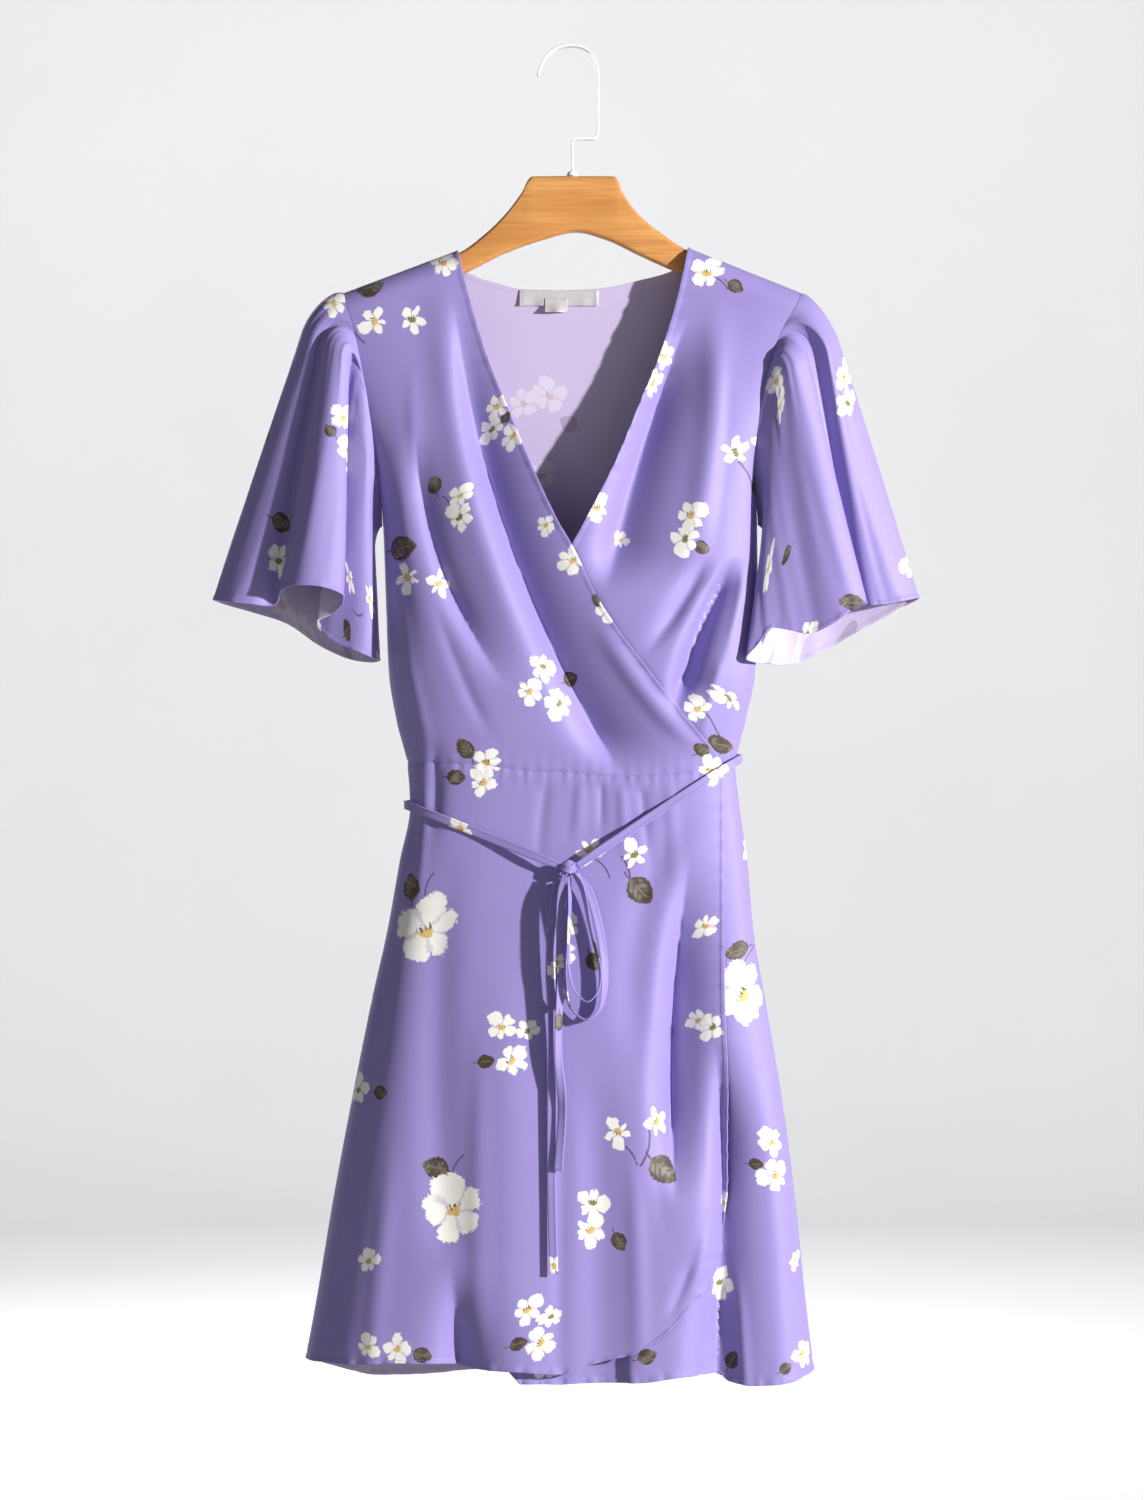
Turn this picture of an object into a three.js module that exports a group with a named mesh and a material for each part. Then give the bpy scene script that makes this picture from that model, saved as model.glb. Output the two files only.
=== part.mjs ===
import * as THREE from 'three';

// A short-sleeved wrap dress with a narrow tie, hanging on a wooden hanger.
// Millimetres, +Z up. The front faces -Y, and the wearer's right is at -X.
// The origin is the underside of the hook's crown, where the hanger is held.

// Cloth: its thickness, the gap at a seam, and half of that gap with a little to spare
const CLOTH = 1.4;
const SEAM = 0.3;
const HALF_SEAM = SEAM / 2 + 0.02;

// The two fronts: how far each lies from the form of the dress, the heights between which they
// part, the share of the width that this takes at the side seam, and how much further in the
// lower front lies where the upper one covers it, and over which distance from its edge
const LAYER = 1.9;
const LAYERS_START_Z = -290;
const LAYERS_FULL_Z = -375;
const SEAM_ZONE = 0.14;
const COVERED_DEEPER = 6;
const COVERED_OVER = 12;

// Height over which the cloth bends across the shoulder
const SHOULDER_ROUND = 16;

// Heights of the underarm and the waist seam, and where the waist seam ends at the sides
const UNDERARM_Z = -383;
const WAIST_Z = -578;
const WAIST_MIN_X = -130.5;
const WAIST_MAX_X = 131.5;

// How quickly the shape of a panel's first and last rows fades into it, as a power
const END_FADE = 6;

// How much closer together steps are where cloth bends round a seam, from 0 to 1
const EASE_MIX = 0.6;

// Steps across and down each panel, and round and down the sleeves
const BODICE_RIGHT_STEPS = { columns: 24, rows: 20 };
const BODICE_LEFT_STEPS = { columns: 22, rows: 18 };
const BODICE_BACK_ROWS = 13;
const SKIRT_RIGHT_STEPS = { columns: 28, rows: 18 };
const SKIRT_LEFT_STEPS = { columns: 26, rows: 16 };
const SKIRT_BACK_STEPS = { columns: 30, rows: 13 };
const SHOULDER_ROWS_AT = [0, 1.2, 4.5, 11, 20];
const SLEEVE_STEPS_PER_STATION = 2;
const SLEEVE_ROWS_AT = [0, 0.05, 0.1, 0.17, 0.28, 0.42, 0.57, 0.72, 0.86, 1];

// Sleeves: gaps to the armhole's edge in front and behind, the end of the head along the
// sleeve, the part of it that faces as the armhole does, and where the underarm begins
const HEAD_GAP = { front: SEAM + 1.7, back: SEAM + 1.4, pit: SEAM + CLOTH + 0.3 };
const HEAD_END = 0.15;
const HEAD_FACES_BODY = 0.1;
const PIT_STARTS = 0.8;

// Tie: its section, its width where it is bunched up beside the knot and over which part of
// its length, how far it lies off the cloth and stands off beside the knot, where along its way
// it starts to stand off, and the heights at which it bends round the two sides
const TIE_WIDTH = 7;
const TIE_THICK = 1.4;
const TIE_BUNCHED = 4;
const TIE_BUNCHED_PART = 0.12;
const TIE_OFF_CLOTH = 1.1;
const TIE_STANDS_OFF = 8;
const TIE_RISES_FROM = 0.35;
const TIE_SIDE_Z = { min: -606, max: -569 };
const BAND_STEPS = 16;
const BACK_BAND_STEPS = 22;
const LONG_TAIL_STEPS = 26;
const SHORT_TAIL_STEPS = 22;
const SMALL_LOOP_STEPS = 30;
const LARGE_LOOP_STEPS = 32;

// Knot of the tie, how far the pieces start from it, and how far the bands reach past its side
const KNOT = { x: -2, y: -45, z: -656, width: 13, depth: 10, height: 15, around: 14, down: 9 };
const KNOT_CLEAR = 0.9;
const BAND_GAP = SEAM - 0.1;
const BAND_OVER_KNOT = 2;

// Hanger: the board's thickness and rounding, its gap below the cloth, how much lower the arms
// start beside the neck, their height, and how their tips reach out above and step in below
const WOOD_THICK = 11;
const WOOD_ROUND = 4;
const BOARD_GAP = CLOTH / 2 + SEAM + 0.5;
const NECK_LOWER = 0.4;
const ARM_HEIGHT = 17;
const ARM_END_X = 174;
const TIP_OUT = 2;
const TIP_IN = 3;

// Hook and the collar at its foot
const HOOK_WIDTH = 11;
const HOOK_THICK = 1.6;
const HOOK_CURVE_STEPS = 8;
const COLLAR = { top: 4.2, foot: 5, height: 3.2, sides: 16, x: 1, z: -101.5 };

// Neck label and size tab
const LABEL_STEPS = { columns: 8, rows: 2 };
const LABEL = { minX: -42, maxX: 22, top: -194.5, bottom: -207, thick: 0.8 };
const SIZE_TAB = { minX: -21, maxX: -3, top: -200, bottom: -211, thick: 0.8 };

const lerp = (a, b, t) => a + (b - a) * t;
const clamp = (v, low, high) => Math.min(high, Math.max(low, v));

function smooth(from, to, v) {
  const t = clamp((v - from) / (to - from), 0, 1);
  return t * t * (3 - 2 * t);
}

function table(columns, rows) {
  return rows.map((row) => Object.fromEntries(columns.map((name, i) => [name, row[i]])));
}

// The standing form of the dress at each height, down from the shoulders. minX and maxX are
// the armhole seams down to the underarm and the side seams below it. front and back are the
// depths at the middle. square is how box-like the section is, edge is the depth at the
// armhole, and soft is 1 where the section ends open and 0.5 where it rounds into a side seam.
const BODY = table(
  ['z', 'minX', 'maxX', 'front', 'back', 'square', 'edge', 'soft'],
  [
    [-150, -186, 188, 13, 12, 5, 0, 1],
    [-197, -181, 183.5, 14, 12, 5, 11, 1],
    [-230, -172, 167, 19, 13, 4.5, 14, 1],
    [-290, -161, 150.5, 29, 15, 4, 15, 0.9],
    [-340, -153.5, 146.5, 37, 16, 3.4, 9, 0.65],
    [-383, -150, 148.5, 42, 17, 3, 0, 0.5],
    [-450, -147.5, 149, 44, 18, 2.8, 0, 0.5],
    [-500, -145.5, 147, 42, 17, 2.8, 0, 0.5],
    [-540, -139, 139, 35, 15, 2.7, 0, 0.5],
    [-575, -130.5, 131.5, 29, 14, 2.6, 0, 0.5],
    [-608, -128.5, 134.5, 28, 14, 2.6, 0, 0.5],
    [-650, -136.5, 140.5, 31, 17, 2.6, 0, 0.5],
    [-706, -146.5, 145.5, 36, 20, 2.6, 0, 0.5],
    [-762, -159, 155, 40, 23, 2.6, 0, 0.5],
    [-842, -175, 168.5, 45, 27, 2.6, 0, 0.5],
    [-922, -190, 179, 49, 30, 2.6, 0, 0.5],
    [-1000, -203, 187, 53, 33, 2.6, 0, 0.5],
    [-1070, -216, 195.5, 56, 36, 2.6, 0, 0.5],
  ],
);

// Each shoulder line runs from the side of the neck to the shoulder tip.
const SHOULDER = {
  min: { neckX: -90.5, neckZ: -163, tipX: -181, tipZ: -197 },
  max: { neckX: 93.5, neckZ: -161, tipX: 183.5, tipZ: -197 },
};

// The free edge of the upper front, from the side of the neck to the far end of the waist.
const OVER_NECK = table(['z', 'x'], [
  [-163, -90.5], [-190, -84], [-245, -68], [-286, -52], [-327, -35], [-380, -10.5],
  [-401, 1.5], [-435, 17.5], [-467, 37.5], [-498, 61], [-530, 86], [-560, 111.5], [-578, 123],
]);

// The free edge of the lower front, seen down to the crossing and then under the upper front.
const UNDER_NECK = table(['z', 'x'], [
  [-161, 93.5], [-200, 85], [-245, 71.5], [-286, 54.5], [-335, 34.5], [-376, 13.5],
  [-400, 0], [-435, -20], [-467, -41], [-498, -63], [-530, -86], [-560, -109], [-578, -119],
]);

// The free edge of the upper skirt front, with its rounded corner at the hem.
const OVER_WRAP = table(['z', 'x'], [
  [-570, 121], [-630, 121], [-762, 122], [-842, 125.5], [-906, 125.5], [-928, 123.5],
  [-950, 120], [-970, 114.5], [-990, 104], [-1005, 91], [-1018, 79.5], [-1030, 63], [-1039, 48],
]);

// The free edge of the lower skirt front, which lies behind the upper one.
const UNDER_WRAP = table(['z', 'x'], [
  [-570, -117], [-630, -117], [-762, -120], [-906, -122], [-950, -117], [-990, -101],
  [-1020, -79], [-1045, -58], [-1062, -40],
]);

// Heights along the waist seam and the hems, read across.
const WAIST = table(['x', 'z'], [
  [-135, -571.5], [-84, -573.5], [-30, -579], [6, -581], [38, -583.5], [107, -578.5], [135, -575],
]);
const BACK_WAIST = table(['x', 'z'], [[-135, -571.5], [0, -576], [135, -575]]);
const OVER_HEM = table(['x', 'z'], [
  [-212, -1048], [-178, -1048], [-138, -1045.5], [-108, -1046], [-70, -1050.5], [-42, -1051.5],
  [-9, -1054], [21, -1045], [48, -1039],
]);
const UNDER_HEM = table(['x', 'z'], [
  [-40, -1062], [-9, -1062], [54, -1061], [91, -1057], [116, -1057], [124, -1063],
  [142, -1065.5], [170, -1064], [194, -1057],
]);
const BACK_HEM = table(['x', 'z'], [
  [-212, -1048], [-193, -1056], [-157, -1064.5], [-120, -1066], [-60, -1063], [0, -1064.5],
  [100, -1063], [194, -1057],
]);
const BACK_NECK = table(['x', 'z'], [
  [-90.5, -163], [-85, -178], [-57, -188.5], [-41, -192.5], [-10, -193.5], [23, -192],
  [55, -185.5], [87, -175], [93.5, -161],
]);

// Folds. Each runs down a curve through three points. left and right are its widths to each
// side, spread is how much wider it is at its foot, and height is how far it stands out, or
// in where it is negative. fadeIn and fadeOut are the parts of its length that it fades over.
const FOLD_COLUMNS = [
  'x0', 'z0', 'x1', 'z1', 'x2', 'z2', 'left', 'right', 'spread', 'height', 'fadeIn', 'fadeOut',
];
const FRONT_FOLDS = table(FOLD_COLUMNS, [
  [-80, -196, -33, -386, 66, -590, 11, 17, 1.15, -12.5, 0.45, 0.16],
  [-120, -305, -100, -421, -46, -520, 8, 12, 1.2, -9, 0.35, 0.4],
  [-103, -172, -83, -322, -15, -520, 15, 10, 1, 5, 0.3, 0.3],
  [18, -450, 60, -518, 108, -570, 9, 7, 1, 3, 0.4, 0.3],
  [97, -215, 78, -314, 40, -425, 13, 13, 1.1, -11, 0.35, 0.3],
  [112, -190, 112, -322, 84, -446, 12, 13, 1, 5, 0.35, 0.4],
  [134, -408, 109, -470, 84, -535, 8, 15, 1.1, -10, 0.3, 0.35],
  [110, -406, 85, -450, 56, -492, 8, 8, 1, -5, 0.3, 0.5],
  [-108, -548, -107, -590, -110, -640, 6, 6, 1, -4, 0.4, 0.4],
  [108, -640, 100, -790, 112, -930, 20, 9, 1.1, -13, 0.45, 0.3],
  [98, -590, 56, -698, 66, -850, 14, 15, 1.2, -5, 0.3, 0.4],
  [-97, -630, -106, -770, -94, -990, 14, 14, 1.3, -5, 0.3, 0.2],
  [-94, -960, -91, -1010, -88, -1075, 9, 14, 1.5, -14, 0.8, 0],
  [-137, -680, -160, -842, -198, -1075, 7, 9, 1.3, -5, 0.3, 0],
  [-52, -700, -50, -880, -48, -1075, 24, 24, 1.2, 5, 0.4, 0],
  [16, -780, 22, -930, 24, -1075, 16, 18, 1.2, -6, 0.4, 0],
  [128, -770, 136, -922, 146, -1075, 9, 13, 1.3, -11, 0.5, 0],
  [155, -780, 167, -922, 174, -1075, 12, 9, 1.2, 5, 0.5, 0],
  [109, -950, 107, -1018, 104, -1075, 9, 11, 1.2, -9, 0.7, 0],
]);
const BACK_FOLDS = table(FOLD_COLUMNS, [
  [-96, -215, -70, -380, -52, -600, 14, 12, 1, -5, 0.3, 0.2],
  [88, -215, 66, -380, 48, -600, 12, 14, 1, -5, 0.3, 0.2],
  [-4, -300, -2, -430, -1, -560, 18, 18, 1, 4, 0.4, 0.4],
  [-118, -622, -136, -830, -160, -1075, 10, 12, 1.8, -9, 0.4, 0],
  [-64, -620, -74, -830, -86, -1075, 11, 11, 1.9, 8, 0.4, 0],
  [-20, -616, -24, -830, -28, -1075, 10, 13, 1.8, -10, 0.4, 0],
  [32, -614, 38, -830, 42, -1075, 12, 10, 1.8, 8, 0.4, 0],
  [78, -612, 92, -830, 104, -1075, 10, 12, 1.8, -10, 0.4, 0],
  [112, -622, 132, -850, 152, -1075, 9, 10, 1.6, 5, 0.4, 0],
]);
const FOLDS = { front: FRONT_FOLDS, back: BACK_FOLDS };

// The sleeves, one row for each station round the tube. arm is the place on the armhole: 0 at
// the shoulder tip, 1 at the underarm, 2 back at the tip. cap is the tube just below its head
// and hem is its lower edge. Stations run from the outer edge over the front, with its pleats.
const SLEEVE_COLUMNS = ['arm', 'capX', 'capY', 'capZ', 'hemX', 'hemY', 'hemZ'];
const RIGHT_SLEEVE = table(SLEEVE_COLUMNS, [
  [0.0, -215, 0, -228, -286.5, 2, -442],
  [0.06, -212, -9, -232, -274, -10, -444],
  [0.12, -206, -14, -237, -255, -14, -446],
  [0.17, -200, -12, -241, -237, -8, -447],
  [0.21, -196, -20, -242, -229, -26, -435],
  [0.27, -188.5, -26, -246, -212, -40, -432],
  [0.33, -182, -26.5, -250, -194, -38, -434],
  [0.38, -177, -23, -254, -180.5, -28, -441],
  [0.42, -177, -17, -258, -187, -14, -452],
  [0.47, -175, -15, -264, -203, -6, -461],
  [0.56, -169.5, -18, -292, -191, -10, -475],
  [0.72, -162.5, -17, -338, -172, -15, -483],
  [0.88, -158, -10, -378, -158, -11, -489],
  [1.0, -157, 0, -402, -153, 0, -491],
  [1.14, -159, 9, -376, -161, 10, -492],
  [1.35, -165, 15, -322, -179, 16, -489],
  [1.55, -176, 17, -277, -203, 18, -478],
  [1.7, -190, 16, -250, -228, 18, -461],
  [1.82, -202, 14, -238, -255, 16, -452],
  [1.93, -211, 8, -231, -276, 11, -446],
]);
const LEFT_SLEEVE = table(SLEEVE_COLUMNS, [
  [0.0, 214, 0, -236, 278.5, 2, -441],
  [0.05, 211.5, -9, -240, 267, -9, -443],
  [0.1, 208, -15, -244, 252, -13, -446],
  [0.14, 204, -20, -247, 240, -14, -447],
  [0.18, 197, -13, -250, 229, -8, -449],
  [0.21, 190.5, -15, -252, 226, -13, -450],
  [0.24, 187, -23, -254, 235, -28, -446],
  [0.3, 180, -28, -257, 222, -37, -452],
  [0.38, 172.5, -28, -262, 206, -37, -463],
  [0.48, 166.5, -25, -276, 189, -33, -470],
  [0.6, 161, -22, -298, 172, -32, -467],
  [0.72, 157, -20, -328, 158, -31, -466],
  [0.84, 154, -18, -362, 149, -30, -478],
  [0.94, 154, -11, -388, 139, -29, -490],
  [1.02, 157, -2, -402, 149, -17, -493],
  [1.12, 159, 7, -386, 156, 1, -493],
  [1.3, 163, 14, -336, 173, 13, -494],
  [1.5, 172, 17, -287, 197, 17, -486],
  [1.7, 187, 16, -256, 229, 18, -468],
  [1.86, 203, 11, -244, 262, 13, -450],
]);

// Where a piece of the tie leaves the knot, in a direction from the knot's middle.
function knotExit(dx, dy, dz) {
  const reach = 1 / Math.hypot((2 * dx) / KNOT.width, (2 * dy) / KNOT.depth, (2 * dz) / KNOT.height);
  const out = reach + KNOT_CLEAR / Math.hypot(dx, dy, dz);
  return [KNOT.x + out * dx, KNOT.y + out * dy, KNOT.z + out * dz];
}

// Free ends and loops of the tie. turn is how far the flat of the tie is turned from facing
// the front, in degrees.
const TIE_COLUMNS = ['x', 'y', 'z', 'turn'];
const LONG_TAIL = table(TIE_COLUMNS, [
  [...knotExit(-0.7, 0.1, -0.7), -20], [-12.5, -46, -678, 0], [-15.5, -49, -727, 20],
  [-14.5, -51, -790, 15], [-15.5, -54, -852, 5], [-15, -57.5, -922, 0], [-13.5, -61, -974, 0],
]);
const SHORT_TAIL = table(TIE_COLUMNS, [
  [...knotExit(-0.45, -0.6, -0.65), -10], [-8, -53.5, -682, 10], [-8.5, -56.5, -745, 40],
  [-10, -57.5, -800, 30], [-7, -58, -842, -20], [-10, -59.5, -893, 0],
]);
const SMALL_LOOP = table(TIE_COLUMNS, [
  [...knotExit(0.1, -0.5, -1), 50], [-1, -56, -682, 70], [-1.5, -61, -735, 80],
  [4, -62, -753, 88], [13, -62.5, -760, 90], [21, -62, -752, 92], [23, -60.5, -738, 100],
  [15, -58, -702, 110], [8.5, -55, -671, 120], [...knotExit(0.6, -0.6, -0.55), 130],
]);
const LARGE_LOOP = table(TIE_COLUMNS, [
  [...knotExit(0.85, -0.05, -0.5), 70], [13, -45.5, -672, 70], [24, -48, -712, 78],
  [26.5, -49.5, -748, 84], [22, -50, -768, 88], [12, -50.5, -775, 90], [0, -50, -766, 92],
  [-5, -48.5, -745, 98], [-4.5, -46.5, -705, 100], [-1.5, -45, -678, 96],
  [...knotExit(0.05, 0.05, -1), 92],
]);

// The hanger's board, read across, and the strip of its hook as runs from point to point: a run
// with two points is straight and one with more is curved.
const BOARD_TOP = [
  [-68, -149], [-52, -133], [-39, -115.5], [-33, -104.5], [0, -103.5], [36, -104.5], [41, -117],
  [54.5, -134.5], [74.5, -151],
];
const BOARD_NECK_X = { min: -88.5, max: 91.5 };
const BOARD_UNDERSIDE = [
  [86.5, -181], [54.5, -167], [28, -154.5], [4, -148.5], [-22.5, -154.5], [-52, -165], [-85, -181],
];
const HOOK_RUNS = [
  [[1, -99.6], [1, -77]],
  [[1, -77], [1, -73.6], [5, -73.6]],
  [[5, -73.6], [17, -73.6]],
  [[17, -73.6], [21.5, -73.6], [21.5, -68]],
  [[21.5, -68], [21.5, -22]],
  [[21.5, -22], [21.5, -6], [12, HOOK_THICK / 2], [0, HOOK_THICK / 2]],
  [[0, HOOK_THICK / 2], [-14, HOOK_THICK / 2], [-22, -6], [-26.5, -23]],
];

// Reads one column of a table at a key, on a smooth curve through the rows that never
// swings past them.
function read(rows, key, column, at) {
  const rising = rows[1][key] > rows[0][key];
  let i = 0;
  while (i < rows.length - 2 && (rising ? at > rows[i + 1][key] : at < rows[i + 1][key])) i += 1;
  const row = (k) => rows[clamp(k, 0, rows.length - 1)];
  const a = row(i);
  const b = row(i + 1);
  const span = b[key] - a[key];
  const t = clamp((at - a[key]) / span, 0, 1);
  const rise = (k) => (row(k + 1)[column] - row(k)[column]) / (row(k + 1)[key] - row(k)[key]);
  const slope = (k) => {
    if (k === 0) return rise(0);
    if (k === rows.length - 1) return rise(k - 1);
    const before = rise(k - 1);
    const after = rise(k);
    return before * after <= 0 ? 0 : (2 * before * after) / (before + after);
  };
  const t2 = t * t;
  const t3 = t2 * t;
  return (2 * t3 - 3 * t2 + 1) * a[column] + (t3 - 2 * t2 + t) * span * slope(i)
    + (3 * t2 - 2 * t3) * b[column] + (t3 - t2) * span * slope(i + 1);
}

const bodyAt = (column, z) => read(BODY, 'z', column, z);

function shoulderZ(x) {
  const s = x < 0 ? SHOULDER.min : SHOULDER.max;
  return s.neckZ + ((x - s.neckX) / (s.tipX - s.neckX)) * (s.tipZ - s.neckZ);
}

// How far the folds move the cloth out at a place.
function relief(folds, x, z) {
  let sum = 0;
  for (const f of folds) {
    const s = (f.z0 - z) / (f.z0 - f.z2);
    if (s > 0 && s < 1) {
      const m = (f.z0 - f.z1) / (f.z0 - f.z2);
      const centre = f.x0 * (s - m) * (s - 1) / m
        + f.x1 * s * (s - 1) / (m * (m - 1)) + f.x2 * s * (s - m) / (1 - m);
      const away = x - centre;
      const width = (away < 0 ? f.left : f.right) * lerp(1, f.spread, s);
      const fade = smooth(0, f.fadeIn, s) * (1 - smooth(1 - f.fadeOut, 1 + 1e-6, s));
      sum += f.height * fade * Math.exp(-((away / width) ** 2));
    }
  }
  return sum;
}

// Distance of the middle of the cloth from the plane of the seams.
function depth(face, folds, x, z) {
  const minX = bodyAt('minX', z);
  const maxX = bodyAt('maxX', z);
  const across = clamp(Math.abs((2 * x - minX - maxX) / (maxX - minX)), 0, 1);
  const round = (1 - across ** bodyAt('square', z)) ** bodyAt('soft', z);
  const drop = clamp((shoulderZ(x) - z) / SHOULDER_ROUND, 0, 1);
  const shoulder = Math.sqrt(1 - (1 - drop) ** 2);
  const edge = bodyAt('edge', z);
  return SEAM / 2 + shoulder * (edge + round * (bodyAt(face, z) - edge + relief(folds, x, z)));
}

// The middle of the cloth at a place, and the direction that it faces.
function onBody(face, folds, x, z) {
  const step = 0.002;
  const side = face === 'front' ? -1 : 1;
  const inX = clamp(x, bodyAt('minX', z) + 3 * step, bodyAt('maxX', z) - 3 * step);
  const deep = (dx, dz) => depth(face, folds, inX + dx, z + dz);
  const slopeX = (deep(step, 0) - deep(-step, 0)) / (2 * step);
  const slopeZ = (deep(0, step) - deep(0, -step)) / (2 * step);
  return {
    point: new THREE.Vector3(x, side * depth(face, folds, x, z), z),
    normal: new THREE.Vector3(-slopeX, side, -slopeZ).normalize(),
  };
}

// The upper front lies out and the lower front lies in, except at the seam that holds each.
// The lower front lies further in where the upper one covers it.
function layerShift(layer, x, z) {
  const minX = bodyAt('minX', z);
  const maxX = bodyAt('maxX', z);
  const across = (2 * x - minX - maxX) / (maxX - minX);
  const down = 1 - smooth(LAYERS_FULL_Z, LAYERS_START_Z, z);
  if (layer === 'over') return LAYER * down * smooth(-1, -1 + SEAM_ZONE, across);
  if (layer !== 'under') return 0;
  const coverX = z > WAIST_Z ? read(OVER_NECK, 'z', 'x', z) : read(OVER_WRAP, 'z', 'x', z);
  const covered = smooth(0, COVERED_OVER, coverX - x) * COVERED_DEEPER;
  return -(LAYER + covered) * down * (1 - smooth(1 - SEAM_ZONE, 1, across));
}

// A closed wall round a grid of places. A tube's grid joins its last column to its first.
function wall(columns, rows, tube, thick, place) {
  const count = tube ? columns : columns + 1;
  const positions = [];
  for (const side of [0.5, -0.5]) {
    for (let j = 0; j <= rows; j += 1) {
      for (let i = 0; i < count; i += 1) {
        const { point, normal } = place(i, j);
        positions.push(...point.clone().addScaledVector(normal, side * thick).toArray());
      }
    }
  }
  const sheet = count * (rows + 1);
  const at = (side, i, j) => side * sheet + j * count + (i % count);
  const index = [];
  const quad = (a, b, c, d) => index.push(a, b, c, a, c, d);
  for (let j = 0; j < rows; j += 1) {
    for (let i = 0; i < columns; i += 1) {
      quad(at(0, i, j), at(0, i + 1, j), at(0, i + 1, j + 1), at(0, i, j + 1));
      quad(at(1, i, j), at(1, i, j + 1), at(1, i + 1, j + 1), at(1, i + 1, j));
    }
  }
  for (let i = 0; i < columns; i += 1) {
    quad(at(0, i, 0), at(1, i, 0), at(1, i + 1, 0), at(0, i + 1, 0));
    quad(at(0, i, rows), at(0, i + 1, rows), at(1, i + 1, rows), at(1, i, rows));
  }
  for (let j = 0; j < rows && !tube; j += 1) {
    quad(at(0, 0, j), at(0, 0, j + 1), at(1, 0, j + 1), at(1, 0, j));
    quad(at(0, columns, j), at(1, columns, j), at(1, columns, j + 1), at(0, columns, j + 1));
  }
  return facingOut(positions, index);
}

// A geometry whose faces point out of it.
function facingOut(positions, index) {
  const p = (k) => new THREE.Vector3().fromArray(positions, 3 * k);
  let volume = 0;
  for (let k = 0; k < index.length; k += 3) {
    volume += p(index[k]).dot(p(index[k + 1]).cross(p(index[k + 2])));
  }
  const out = new THREE.BufferGeometry();
  out.setAttribute('position', new THREE.Float32BufferAttribute(positions, 3));
  out.setIndex(volume > 0 ? index : index.slice().reverse());
  out.computeVertexNormals();
  return out;
}

// Steps from 0 to 1, drawn closer together at the start, at the end or at both.
function easing(kind) {
  const start = (a) => lerp(a, 1 - Math.cos((Math.PI * a) / 2), EASE_MIX);
  if (kind === 'start') return start;
  if (kind === 'end') return (a) => 1 - start(1 - a);
  return (a) => lerp(a, (1 - Math.cos(Math.PI * a)) / 2, EASE_MIX);
}

// Rows down a bodice panel, closer together where it bends over the shoulder.
function shoulderRows(count, length) {
  const close = SHOULDER_ROWS_AT.map((d) => d / length);
  const last = close[close.length - 1];
  const more = count + 1 - close.length;
  return [...close, ...Array.from({ length: more }, (_, i) => lerp(last, 1, (i + 1) / more))];
}

// Rows down a skirt panel, closer together at the waist.
function skirtRows(count) {
  return Array.from({ length: count + 1 }, (_, i) => lerp(i / count, (i / count) ** 2, EASE_MIX));
}

// A panel of the dress. left and right give its two edges at a fraction of the way down, and
// top and bottom are tables of the heights that its first and last rows follow.
function panel({ face, layer, left, right, top, bottom, columns, rows, ease }) {
  const way = easing(ease);
  const endShape = (edge, end, w, fade) => {
    if (!edge) return 0;
    const x = lerp(left(end).x, right(end).x, w);
    const off = read(edge.rows, 'x', 'z', x) + edge.off - lerp(left(end).z, right(end).z, w);
    return off * fade ** END_FADE;
  };
  return wall(columns, rows.length - 1, false, CLOTH, (i, j) => {
    const v = rows[j];
    const w = way(i / columns);
    const a = left(v);
    const b = right(v);
    const z = lerp(a.z, b.z, w) + endShape(top, 0, w, 1 - v) + endShape(bottom, 1, w, v);
    const seam = (i === 0 && a.column) || (i === columns && b.column);
    const x = seam ? bodyAt(seam, z) : lerp(a.x, b.x, w);
    const place = onBody(face, FOLDS[face], x, z);
    place.point.addScaledVector(place.normal, layerShift(layer, x, z));
    return place;
  });
}

// An edge that follows a side seam, or the curve of a free edge, between two heights.
const sideEdge = (column, top, bottom) => (v) => {
  const z = lerp(top, bottom, v);
  return { x: bodyAt(column, z), z, column };
};
const freeEdge = (rows, top, bottom) => (v) => {
  const z = lerp(top, bottom, v);
  return { x: read(rows, 'z', 'x', z), z };
};

const waistAt = (rows, x) => read(rows, 'x', 'z', x);

function bodiceFrontRight() {
  const { min } = SHOULDER;
  const end = OVER_NECK[OVER_NECK.length - 1];
  const sideEnd = waistAt(WAIST, WAIST_MIN_X) + HALF_SEAM;
  return panel({
    face: 'front',
    layer: 'over',
    left: sideEdge('minX', min.tipZ, sideEnd),
    right: freeEdge(OVER_NECK, min.neckZ, waistAt(WAIST, end.x) + HALF_SEAM),
    bottom: { rows: WAIST, off: HALF_SEAM },
    columns: BODICE_RIGHT_STEPS.columns,
    rows: shoulderRows(BODICE_RIGHT_STEPS.rows, min.tipZ - sideEnd),
    ease: 'start',
  });
}

function bodiceFrontLeft() {
  const { max } = SHOULDER;
  const end = UNDER_NECK[UNDER_NECK.length - 1];
  const sideEnd = waistAt(WAIST, WAIST_MAX_X) + HALF_SEAM;
  return panel({
    face: 'front',
    layer: 'under',
    left: freeEdge(UNDER_NECK, max.neckZ, waistAt(WAIST, end.x) + HALF_SEAM),
    right: sideEdge('maxX', max.tipZ, sideEnd),
    bottom: { rows: WAIST, off: HALF_SEAM },
    columns: BODICE_LEFT_STEPS.columns,
    rows: shoulderRows(BODICE_LEFT_STEPS.rows, max.tipZ - sideEnd),
    ease: 'end',
  });
}

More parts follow.
